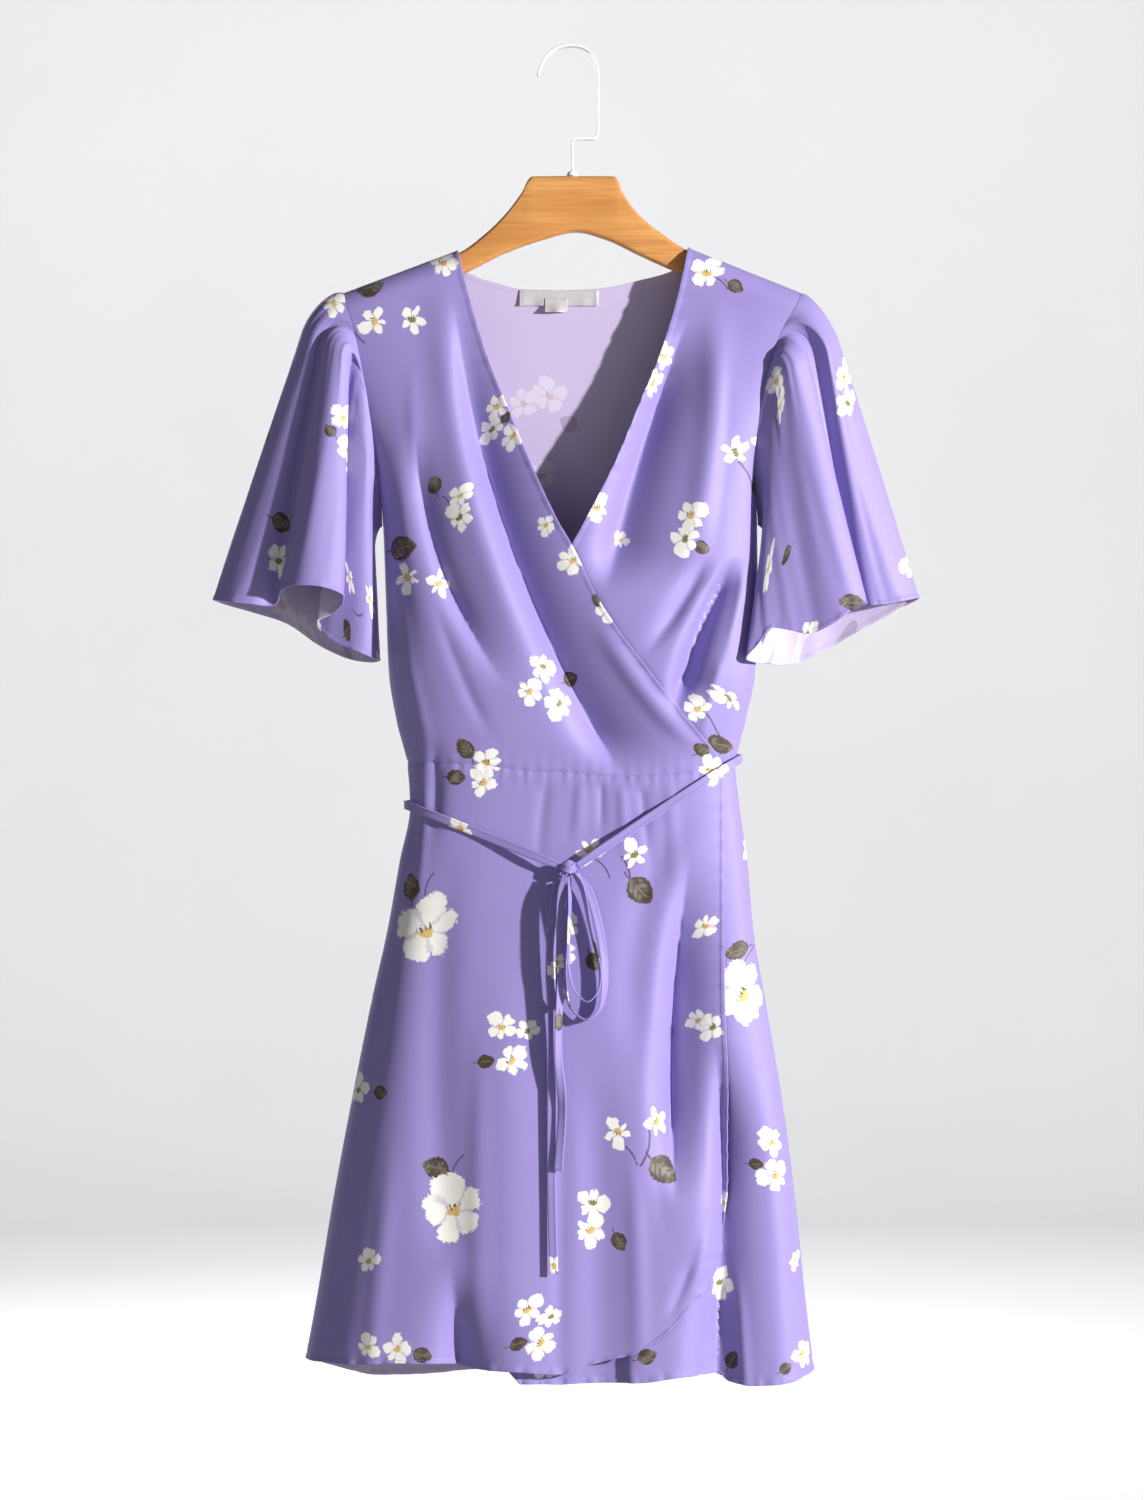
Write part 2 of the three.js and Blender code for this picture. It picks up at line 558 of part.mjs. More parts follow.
// Columns across the back, with one at each side of the neck, where its neckline has corners,
// and more beside it, where the neckline drops behind the hanger.
function backColumns() {
  const { min, max } = SHOULDER;
  const dropAway = [0, 0.5, 1.6, 4.5, 12];
  const shoulders = [0, 0.2, 0.42, 0.64, 0.84];
  const middle = 6;
  const beside = dropAway[dropAway.length - 1];
  const neck = (x) => ({ x, z: read(BACK_NECK, 'x', 'z', x) });
  const onShoulder = (s, w) => ({ x: lerp(s.tipX, s.neckX, w), z: lerp(s.tipZ, s.neckZ, w) });
  const between = (k) => neck(lerp(min.neckX + beside, max.neckX - beside, (k + 1) / middle));
  return [
    ...shoulders.map((w) => onShoulder(min, w)),
    ...dropAway.map((d) => neck(min.neckX + d)),
    ...Array.from({ length: middle - 1 }, (_, k) => between(k)),
    ...dropAway.map((d) => neck(max.neckX - d)).reverse(),
    ...shoulders.map((w) => onShoulder(max, w)).reverse(),
  ];
}

function bodiceBack() {
  const { min, max } = SHOULDER;
  const tops = backColumns();
  const columns = tops.length - 1;
  const rows = shoulderRows(BODICE_BACK_ROWS, min.tipZ - WAIST_Z);
  const fitsBody = 0.15;
  return wall(columns, rows.length - 1, false, CLOTH, (i, j) => {
    const v = rows[j];
    const w = (tops[i].x - min.tipX) / (max.tipX - min.tipX);
    const even = lerp(tops[i].x, lerp(bodyAt('minX', WAIST_Z), bodyAt('maxX', WAIST_Z), w), v);
    const z = lerp(tops[i].z, waistAt(BACK_WAIST, even) + HALF_SEAM, v);
    if (i === 0) return onBody('back', BACK_FOLDS, bodyAt('minX', z), z);
    if (i === columns) return onBody('back', BACK_FOLDS, bodyAt('maxX', z), z);
    const inside = lerp(bodyAt('minX', z), bodyAt('maxX', z), w);
    return onBody('back', BACK_FOLDS, lerp(tops[i].x, inside, smooth(0, fitsBody, v)), z);
  });
}

function skirtFrontRight() {
  const top = waistAt(WAIST, WAIST_MIN_X) - HALF_SEAM;
  const wrapTop = waistAt(WAIST, OVER_WRAP[0].x) - HALF_SEAM;
  return panel({
    face: 'front',
    layer: 'over',
    left: sideEdge('minX', top, OVER_HEM[0].z),
    right: freeEdge(OVER_WRAP, wrapTop, OVER_WRAP[OVER_WRAP.length - 1].z),
    top: { rows: WAIST, off: -HALF_SEAM },
    bottom: { rows: OVER_HEM, off: 0 },
    columns: SKIRT_RIGHT_STEPS.columns,
    rows: skirtRows(SKIRT_RIGHT_STEPS.rows),
    ease: 'start',
  });
}

function skirtFrontLeft() {
  const top = waistAt(WAIST, WAIST_MAX_X) - HALF_SEAM;
  const wrapTop = waistAt(WAIST, UNDER_WRAP[0].x) - HALF_SEAM;
  return panel({
    face: 'front',
    layer: 'under',
    left: freeEdge(UNDER_WRAP, wrapTop, UNDER_WRAP[UNDER_WRAP.length - 1].z),
    right: sideEdge('maxX', top, UNDER_HEM[UNDER_HEM.length - 1].z),
    top: { rows: WAIST, off: -HALF_SEAM },
    bottom: { rows: UNDER_HEM, off: 0 },
    columns: SKIRT_LEFT_STEPS.columns,
    rows: skirtRows(SKIRT_LEFT_STEPS.rows),
    ease: 'end',
  });
}

function skirtBack() {
  const rightTop = waistAt(BACK_WAIST, WAIST_MIN_X) - HALF_SEAM;
  const leftTop = waistAt(BACK_WAIST, WAIST_MAX_X) - HALF_SEAM;
  return panel({
    face: 'back',
    layer: 'single',
    left: sideEdge('minX', rightTop, BACK_HEM[0].z),
    right: sideEdge('maxX', leftTop, BACK_HEM[BACK_HEM.length - 1].z),
    top: { rows: BACK_WAIST, off: -HALF_SEAM },
    bottom: { rows: BACK_HEM, off: 0 },
    columns: SKIRT_BACK_STEPS.columns,
    rows: skirtRows(SKIRT_BACK_STEPS.rows),
    ease: 'both',
  });
}

// The armhole at a station: a point of the bodice's edge, with the way its cloth faces there.
function armhole(column, arm) {
  const front = arm <= 1;
  const fraction = front ? arm : 2 - arm;
  const shoulder = column === 'minX' ? SHOULDER.min : SHOULDER.max;
  const z = lerp(shoulder.tipZ, UNDERARM_Z, fraction);
  const justInside = column === 'minX' ? 0.01 : -0.01;
  const place = onBody(front ? 'front' : 'back', [], bodyAt(column, z) + justInside, z);
  const atTip = 0.004;
  if (fraction < atTip) {
    place.point.y = 0;
    place.normal.set(0, 0, 1);
  }
  return place;
}

// One closed curve through a column of the stations. The place on the armhole grows by a full
// turn each time round.
function around(rows, column, at) {
  const n = rows.length;
  const i = Math.floor(at);
  const t = at - i;
  const q = (k) => rows[(i + k + n) % n][column];
  const fullTurn = column === 'arm' ? 2 : 0;
  const value = (k) => q(k) + (i + k >= n ? fullTurn : 0) - (i + k < 0 ? fullTurn : 0);
  const [a, b, c, d] = [value(-1), value(0), value(1), value(2)];
  const squared = 2 * a - 5 * b + 4 * c - d;
  const cubed = 3 * b - a - 3 * c + d;
  return 0.5 * (2 * b + (c - a) * t + squared * t ** 2 + cubed * t ** 3);
}

function pointAround(rows, part, at) {
  const [x, y, z] = ['X', 'Y', 'Z'].map((axis) => around(rows, part + axis, at));
  return new THREE.Vector3(x, y, z);
}

function sleeve(rows, column) {
  const outward = column === 'minX' ? -1 : 1;
  const stations = rows.length;
  const centre = (at, v) => {
    const arm = clamp(around(rows, 'arm', at), 0, 2);
    const tipAgain = 1.999;
    const edge = armhole(column, arm > tipAgain ? 0 : arm);
    const nearPit = smooth(PIT_STARTS, 1, 1 - Math.abs(arm - 1));
    const start = edge.point.clone();
    const gap = arm > 1 ? HEAD_GAP.back : HEAD_GAP.front;
    start.x += outward * lerp(gap, HEAD_GAP.pit, nearPit);
    const down = (v - HEAD_END) / (1 - HEAD_END);
    const line = pointAround(rows, 'cap', at).lerp(pointAround(rows, 'hem', at), down);
    const head = clamp(v / HEAD_END, 0, 1);
    return { point: start.lerp(line, 1 - (1 - head) ** 2), edge, nearPit };
  };
  const columns = stations * SLEEVE_STEPS_PER_STATION;
  const step = 0.001;
  return wall(columns, SLEEVE_ROWS_AT.length - 1, true, CLOTH, (i, j) => {
    const at = i / SLEEVE_STEPS_PER_STATION;
    const v = SLEEVE_ROWS_AT[j];
    const here = centre(at, v);
    const before = centre((at - step + stations) % stations, v).point;
    const after = centre((at + step) % stations, v).point;
    const above = centre(at, Math.max(0, v - step)).point;
    const below = centre(at, Math.min(1, v + step)).point;
    const normal = after.sub(before).cross(below.sub(above)).normalize().multiplyScalar(outward);
    const kept = (1 - smooth(0, HEAD_FACES_BODY, v)) * (1 - here.nearPit);
    normal.lerp(here.edge.normal, kept).normalize();
    return { point: here.point, normal };
  });
}

// A flat tie along a list of places, each with the way that its flat faces.
function ribbon(places) {
  const section = [[-0.5, -0.5], [0.5, -0.5], [0.5, 0.5], [-0.5, 0.5]];
  const positions = [];
  const n = places.length;
  places.forEach(({ point, face, width = TIE_WIDTH }, i) => {
    const before = places[Math.max(0, i - 1)].point;
    const after = places[Math.min(n - 1, i + 1)].point;
    const along = after.clone().sub(before).normalize();
    const across = new THREE.Vector3().crossVectors(along, face).normalize();
    const out = new THREE.Vector3().crossVectors(across, along).normalize();
    for (const [w, t] of section) {
      const corner = point.clone().addScaledVector(across, w * width);
      positions.push(...corner.addScaledVector(out, t * TIE_THICK).toArray());
    }
  });
  const index = [];
  for (let i = 0; i < n - 1; i += 1) {
    for (let k = 0; k < 4; k += 1) {
      const a = 4 * i + k;
      const b = 4 * i + ((k + 1) % 4);
      index.push(a, b, b + 4, a, b + 4, a + 4);
    }
  }
  const e = 4 * (n - 1);
  index.push(0, 2, 1, 0, 3, 2, e, e + 1, e + 2, e, e + 2, e + 3);
  return facingOut(positions, index);
}

// A hanging tie through its table's places. It is bunched up where it leaves the knot, and a
// loop is bunched up at both ends.
function hangingTie(rows, steps, loop) {
  const curve = new THREE.CatmullRomCurve3(rows.map((r) => new THREE.Vector3(r.x, r.y, r.z)));
  return ribbon(Array.from({ length: steps + 1 }, (_, k) => {
    const t = k / steps;
    const f = t * (rows.length - 1);
    const i = Math.min(rows.length - 2, Math.floor(f));
    const turn = THREE.MathUtils.degToRad(lerp(rows[i].turn, rows[i + 1].turn, f - i));
    const fromKnot = loop ? Math.min(t, 1 - t) : t;
    return {
      point: curve.getPoint(t),
      width: lerp(TIE_BUNCHED, TIE_WIDTH, smooth(0, TIE_BUNCHED_PART, fromKnot)),
      face: new THREE.Vector3(Math.sin(turn), -Math.cos(turn), 0),
    };
  }));
}

// A stretch of tie that lies on the dress between two places, and stands off it at the knot.
function wornTie(face, from, to, ease, steps) {
  const way = easing(ease);
  const onCloth = CLOTH / 2 + SEAM + TIE_THICK / 2 + TIE_OFF_CLOTH + (face === 'front' ? LAYER : 0);
  return ribbon(Array.from({ length: steps + 1 }, (_, k) => {
    const w = way(k / steps);
    const x = lerp(from.x, to.x, w);
    const z = lerp(from.z, to.z, w);
    const place = onBody(face, [], x, z);
    const lift = onCloth + lerp(from.off, to.off, smooth(TIE_RISES_FROM, 1, w));
    const out = place.normal.clone().setZ(0).normalize();
    return { point: place.point.addScaledVector(out, lift), face: out };
  }));
}

// Where the tie bends round a side.
function tieSide(side) {
  const z = TIE_SIDE_Z[side];
  return { x: bodyAt(`${side}X`, z), z, off: 0 };
}

function tieBand(side) {
  const toward = side === 'min' ? -1 : 1;
  const x = KNOT.x + toward * (KNOT.width / 2 + BAND_GAP);
  const to = { x, z: KNOT.z + BAND_OVER_KNOT, off: TIE_STANDS_OFF };
  return wornTie('front', tieSide(side), to, 'start', BAND_STEPS);
}

function tieBack() {
  return wornTie('back', tieSide('min'), tieSide('max'), 'both', BACK_BAND_STEPS);
}

function knot() {
  const out = new THREE.SphereGeometry(0.5, KNOT.around, KNOT.down);
  out.scale(KNOT.width, KNOT.depth, KNOT.height);
  return out;
}

// The wooden hanger: a rounded board with a block at its top and two sloping arms.
function hangerBody() {
  const underCloth = (x) => shoulderZ(x) - BOARD_GAP;
  const tipZ = { min: underCloth(-ARM_END_X), max: underCloth(ARM_END_X) };
  const outline = [
    [-ARM_END_X, tipZ.min],
    [BOARD_NECK_X.min, underCloth(BOARD_NECK_X.min) - NECK_LOWER],
    ...BOARD_TOP,
    [BOARD_NECK_X.max, underCloth(BOARD_NECK_X.max) - NECK_LOWER],
    [ARM_END_X, tipZ.max],
    [ARM_END_X + TIP_OUT, tipZ.max - ARM_HEIGHT / 2],
    [ARM_END_X - TIP_IN, tipZ.max - ARM_HEIGHT],
    ...BOARD_UNDERSIDE,
    [-ARM_END_X + TIP_IN, tipZ.min - ARM_HEIGHT],
    [-ARM_END_X - TIP_OUT, tipZ.min - ARM_HEIGHT / 2],
  ];
  const shape = new THREE.Shape(outline.map(([x, z]) => new THREE.Vector2(x, z)));
  const out = new THREE.ExtrudeGeometry(shape, {
    depth: WOOD_THICK - 2 * WOOD_ROUND,
    bevelEnabled: true,
    bevelThickness: WOOD_ROUND,
    bevelSize: WOOD_ROUND,
    bevelOffset: -WOOD_ROUND,
    bevelSegments: 3,
    curveSegments: 4,
  });
  out.rotateX(Math.PI / 2);
  out.translate(0, WOOD_THICK / 2 - WOOD_ROUND, 0);
  return out;
}

// The hook: one bent strip of metal, seen edge-on from the front.
function hangerHook() {
  const half = HOOK_THICK / 2;
  const kinds = { 2: THREE.LineCurve, 3: THREE.QuadraticBezierCurve, 4: THREE.CubicBezierCurve };
  const runs = HOOK_RUNS.map((run) => new kinds[run.length](...run.map((p) => new THREE.Vector2(...p))));
  const steps = runs.flatMap((curve) => {
    const count = curve.isLineCurve ? 1 : HOOK_CURVE_STEPS;
    return Array.from({ length: count }, (_, i) => ({ curve, t: i / count }));
  });
  steps.push({ curve: runs[runs.length - 1], t: 1 });
  const offset = (side) => steps.map(({ curve, t }) => {
    const along = curve.getTangent(t);
    const aside = new THREE.Vector2(-along.y, along.x);
    return curve.getPoint(t).addScaledVector(aside, side * half);
  });
  const shape = new THREE.Shape([...offset(1), ...offset(-1).reverse()]);
  const out = new THREE.ExtrudeGeometry(shape, { depth: HOOK_WIDTH, bevelEnabled: false });
  out.rotateX(Math.PI / 2);
  out.translate(0, HOOK_WIDTH / 2, 0);
  return out;
}

function hookCollar() {
  const out = new THREE.CylinderGeometry(COLLAR.top, COLLAR.foot, COLLAR.height, COLLAR.sides);
  out.rotateX(Math.PI / 2);
  return out;
}

// A flat label on the inside of the back neck, made from the back's own places, moved in.
function neckPiece({ minX, maxX, top, bottom, thick }, inward) {
  const { columns, rows } = LABEL_STEPS;
  return wall(columns, rows, false, thick, (i, j) => {
    const x = lerp(minX, maxX, i / columns);
    const place = onBody('back', BACK_FOLDS, x, lerp(top, bottom, j / rows));
    place.point.addScaledVector(place.normal, -inward);
    return place;
  });
}

const standard = (settings) => () => new THREE.MeshStandardMaterial(settings);
const cloth = standard({ color: 0x8672bd, roughness: 0.62, side: THREE.DoubleSide });
const wood = standard({ color: 0xd68c46, roughness: 0.5 });
const metal = standard({ color: 0xf2f2f0, roughness: 0.35, metalness: 0.1 });
const label = standard({ color: 0xb9b6b4, roughness: 0.6 });

const group = new THREE.Group();

function add(name, geometry, material, place = [0, 0, 0]) {
  const mesh = new THREE.Mesh(geometry, material);
  mesh.name = name;
  mesh.position.set(...place);
  group.add(mesh);
}

const onBack = CLOTH / 2 + SEAM + LABEL.thick / 2;
add('hanger_body', hangerBody(), wood());
add('hanger_hook', hangerHook(), metal());
add('hanger_ferrule', hookCollar(), metal(), [COLLAR.x, 0, COLLAR.z]);
add('bodice_front_right', bodiceFrontRight(), cloth());
add('bodice_front_left', bodiceFrontLeft(), cloth());
add('bodice_back', bodiceBack(), cloth());
add('skirt_front_right', skirtFrontRight(), cloth());
add('skirt_front_left', skirtFrontLeft(), cloth());
add('skirt_back', skirtBack(), cloth());
add('sleeve_right', sleeve(RIGHT_SLEEVE, 'minX'), cloth());
add('sleeve_left', sleeve(LEFT_SLEEVE, 'maxX'), cloth());
add('neck_label', neckPiece(LABEL, onBack), label());
add('size_tab', neckPiece(SIZE_TAB, onBack + LABEL.thick + SEAM), label());
add('tie_back', tieBack(), cloth());
add('tie_right_band', tieBand('min'), cloth());
add('tie_left_band', tieBand('max'), cloth());
add('tie_knot', knot(), cloth(), [KNOT.x, KNOT.y, KNOT.z]);
add('tie_long_tail', hangingTie(LONG_TAIL, LONG_TAIL_STEPS, false), cloth());
add('tie_short_tail', hangingTie(SHORT_TAIL, SHORT_TAIL_STEPS, false), cloth());
add('tie_small_loop', hangingTie(SMALL_LOOP, SMALL_LOOP_STEPS, true), cloth());
add('tie_large_loop', hangingTie(LARGE_LOOP, LARGE_LOOP_STEPS, true), cloth());

export default group;
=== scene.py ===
"""The looks of a short-sleeved wrap dress with a narrow tie, hanging on a wooden hanger.

Lengths in the tables are millimetres, +Z up. The front faces -Y, and the wearer's right is at -X.
"""

import math

import bpy
import numpy as np
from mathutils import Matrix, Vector

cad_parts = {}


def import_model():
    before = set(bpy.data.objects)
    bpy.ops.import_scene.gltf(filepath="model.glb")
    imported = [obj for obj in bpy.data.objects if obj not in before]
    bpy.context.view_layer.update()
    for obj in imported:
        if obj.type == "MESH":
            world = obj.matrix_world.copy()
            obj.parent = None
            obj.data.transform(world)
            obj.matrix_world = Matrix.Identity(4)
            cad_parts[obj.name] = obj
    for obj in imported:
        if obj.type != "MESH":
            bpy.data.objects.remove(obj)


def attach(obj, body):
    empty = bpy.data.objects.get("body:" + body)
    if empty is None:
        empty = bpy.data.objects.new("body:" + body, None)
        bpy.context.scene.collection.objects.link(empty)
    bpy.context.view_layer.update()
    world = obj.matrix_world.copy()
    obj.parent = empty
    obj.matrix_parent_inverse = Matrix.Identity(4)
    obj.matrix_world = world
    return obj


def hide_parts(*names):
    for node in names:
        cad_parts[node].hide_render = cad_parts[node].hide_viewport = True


MM = 0.001

# The camera's view
VIEW_HEIGHT = 1.2
VIEW_X = 0.0008
VIEW_Z = -0.5624
CAMERA_AWAY = 3.4
SENSOR = 36.0

# Cloth
SHELL = 0.7
HEM_SHELL = 1.25
SEAM = 0.06
LAYER = 1.9
SHOULDER_ROUND = 16
LAYERS_START_Z = -290
LAYERS_FULL_Z = -375
SEAM_ZONE = 0.14
COVERED_DEEPER = 6
COVERED_OVER = 12
WAIST_Z = -578
UNDERARM_Z = -383
SOLID_CLOTH = 1.4
SOLID_SEAM = 0.3
SOLID_TIE = 1.4
TIE_WIDTH = 7
TIE_SHELL = 1.1

# The front hangs a little flatter than the plain form of the dress.
FRONT_FLATTER = 1.7

# Loose cloth falls into deeper valleys than the plain form of the dress has.
VALLEY_DEEPER = 1.5

# How sharply the bottom of a deep valley turns: 2 is a round trough and 1 a crease.
VALLEY_DEEP = -4.5
VALLEY_SHARP = 1.3

# Stitches
STITCH_PITCH = 3.0
STITCH_LENGTH = 2.1
STITCH_THICK = 0.32
HEM_STITCH = 2.6

# Distances from an edge of a piece to its closest rows or columns of vertices.
EDGE = {
    "seam": [0, 0.07, 0.25, 0.6, 1.1, 1.8, 2.8, 4.2, 6.0],
    "free": [0, 0.5, 1.3, HEM_STITCH, 3.3, 5.2],
    "shoulder": [0, 0.06, 0.25, 0.6, 1.1, 1.8, 2.8, 4.2, 6.0, 8.2, 10.8, 13.6, 16.5],
    "waist": [0, 0.5, 1.4, 2.8],
}
HEM_ROW = 3


def lerp(a, b, t):
    return a + (b - a) * t


def smooth(start, end, v):
    t = np.clip((np.asarray(v, float) - start) / (end - start), 0, 1)
    return t * t * (3 - 2 * t)


def table(names, rows):
    """The columns of a table, by name."""
    return dict(zip(names.split(), np.array(rows, float).T))


# The standing form of the dress at each height, down from the shoulders.
BODY = table(
    "z minX maxX front back square edge soft",
    [
        [-150, -186, 188, 13, 12, 5, 0, 1],
        [-197, -181, 183.5, 14, 12, 5, 11, 1],
        [-230, -172, 167, 17, 13, 4.5, 14, 1],
        [-290, -161, 150.5, 24, 15, 4, 15, 0.9],
        [-340, -153.5, 146.5, 31, 16, 3.4, 9, 0.65],
        [-383, -150, 148.5, 36, 17, 3, 0, 0.5],
        [-450, -147.5, 149, 40, 18, 2.8, 0, 0.5],
        [-500, -145.5, 147, 42, 17, 2.8, 0, 0.5],
        [-540, -139, 139, 35, 15, 2.7, 0, 0.5],
        [-575, -130.5, 131.5, 29, 14, 2.6, 0, 0.5],
        [-608, -128.5, 134.5, 28, 14, 2.6, 0, 0.5],
        [-650, -136.5, 140.5, 31, 17, 2.6, 0, 0.5],
        [-706, -146.5, 145.5, 36, 20, 2.6, 0, 0.5],
        [-762, -159, 155, 40, 23, 2.6, 0, 0.5],
        [-842, -175, 168.5, 45, 27, 2.6, 0, 0.5],
        [-922, -190, 179, 49, 30, 2.6, 0, 0.5],
        [-1000, -203, 187, 53, 33, 2.6, 0, 0.5],
        [-1070, -216, 195.5, 56, 36, 2.6, 0, 0.5],
    ],
)

# Each shoulder line runs from the side of the neck to the shoulder tip.
SHOULDER = {
    "minX": {"neck": (-90.5, -163), "tip": (-181, -197)},
    "maxX": {"neck": (93.5, -161), "tip": (183.5, -197)},
}

# Free edges of the two fronts, read down, and heights of the seams and hems, read across.
OVER_NECK = table("z x", [
    [-163, -90.5], [-190, -84], [-245, -68], [-286, -52], [-327, -35], [-380, -10.5],
    [-401, 1.5], [-435, 17.5], [-467, 37.5], [-498, 61], [-530, 86], [-560, 111.5], [-578, 123],
])
UNDER_NECK = table("z x", [
    [-161, 93.5], [-200, 85], [-245, 71.5], [-286, 54.5], [-335, 34.5], [-376, 13.5],
    [-400, 0], [-435, -20], [-467, -41], [-498, -63], [-530, -86], [-560, -109], [-578, -119],
])
OVER_WRAP = table("z x", [
    [-570, 121], [-630, 121], [-762, 122], [-842, 125.5], [-906, 125.5], [-928, 123.5],
    [-950, 120], [-970, 114.5], [-990, 104], [-1005, 91], [-1018, 79.5], [-1030, 63], [-1039, 48],
])
UNDER_WRAP = table("z x", [
    [-570, -117], [-630, -117], [-762, -120], [-906, -122], [-950, -117], [-990, -101],
    [-1020, -79], [-1045, -58], [-1062, -40],
])
WAIST = table("x z", [
    [-135, -571.5], [-84, -573.5], [-30, -579], [6, -581], [38, -583.5], [107, -578.5], [135, -575],
])
BACK_WAIST = table("x z", [[-135, -571.5], [0, -576], [135, -575]])
OVER_HEM = table("x z", [
    [-212, -1048], [-178, -1048], [-138, -1045.5], [-108, -1046], [-70, -1050.5], [-42, -1051.5],
    [-9, -1054], [21, -1045], [48, -1039],
])
UNDER_HEM = table("x z", [
    [-40, -1062], [-9, -1062], [54, -1061], [91, -1057], [116, -1057], [124, -1063],
    [142, -1065.5], [170, -1064], [194, -1057],
])
BACK_HEM = table("x z", [
    [-212, -1048], [-193, -1056], [-157, -1064.5], [-120, -1066], [-60, -1063], [0, -1064.5],
    [100, -1063], [194, -1057],
])
BACK_NECK = table("x z", [
    [-90.5, -163], [-85, -178], [-57, -188.5], [-41, -192.5], [-10, -193.5], [23, -192],
    [55, -185.5], [87, -175], [93.5, -161],
])

# Folds: three points of the curve that each runs down, its widths to each side, how much wider
# it is at its foot, its height, and the parts of its length that it fades in and out over.
FRONT_FOLDS = [
    [-93, -196, -52, -392, 44, -590, 7, 18, 1.9, -14.5, 0.4, 0.12],
    [-122, -295, -102, -421, -46, -520, 7, 14, 1.2, -9, 0.35, 0.35],
    [-103, -172, -83, -322, -15, -520, 15, 10, 1, 5, 0.3, 0.3],
    [18, -450, 60, -518, 108, -570, 9, 7, 1, 3, 0.4, 0.3],
    [95, -215, 57, -322, 28, -440, 7, 18, 1.9, -15, 0.35, 0.2],
    [112, -190, 112, -322, 84, -446, 12, 13, 1, 5, 0.35, 0.4],
    [132, -408, 101, -470, 82, -535, 5, 15, 1.1, -17, 0.25, 0.25],
    [110, -406, 85, -450, 56, -492, 8, 8, 1, -5, 0.3, 0.5],
    [-108, -548, -107, -590, -110, -640, 6, 6, 1, -4, 0.4, 0.4],
    [96, -640, 79, -790, 84, -930, 7, 28, 1.1, -20, 0.4, 0.3],
    [98, -590, 56, -698, 66, -850, 14, 15, 1.2, -3.5, 0.3, 0.4],
    [-97, -630, -106, -770, -94, -990, 14, 14, 1.3, -4, 0.3, 0.2],
    [-94, -960, -91, -1010, -88, -1075, 9, 14, 1.5, -14, 0.8, 0],
    [-137, -680, -160, -842, -198, -1075, 7, 9, 1.3, -5, 0.3, 0],
    [-52, -700, -50, -880, -48, -1075, 24, 24, 1.2, 5, 0.4, 0],
    [16, -780, 22, -930, 24, -1075, 16, 18, 1.2, -4, 0.4, 0],
    [116, -780, 119, -922, 116, -1075, 6, 20, 1.5, -18, 0.4, 0],
    [155, -780, 167, -922, 174, -1075, 12, 9, 1.2, 5, 0.5, 0],
    [109, -950, 107, -1018, 104, -1075, 9, 11, 1.2, -9, 0.7, 0],
]
BACK_FOLDS = [
    [-96, -215, -70, -380, -52, -600, 14, 12, 1, -5, 0.3, 0.2],
    [88, -215, 66, -380, 48, -600, 12, 14, 1, -5, 0.3, 0.2],
    [-4, -300, -2, -430, -1, -560, 18, 18, 1, 4, 0.4, 0.4],
    [-118, -622, -136, -830, -160, -1075, 10, 12, 1.8, -9, 0.4, 0],
    [-64, -620, -74, -830, -86, -1075, 11, 11, 1.9, 8, 0.4, 0],
    [-20, -616, -24, -830, -28, -1075, 10, 13, 1.8, -10, 0.4, 0],
    [32, -614, 38, -830, 42, -1075, 12, 10, 1.8, 8, 0.4, 0],
    [78, -612, 92, -830, 104, -1075, 10, 12, 1.8, -10, 0.4, 0],
    [112, -622, 132, -850, 152, -1075, 9, 10, 1.6, 5, 0.4, 0],
]

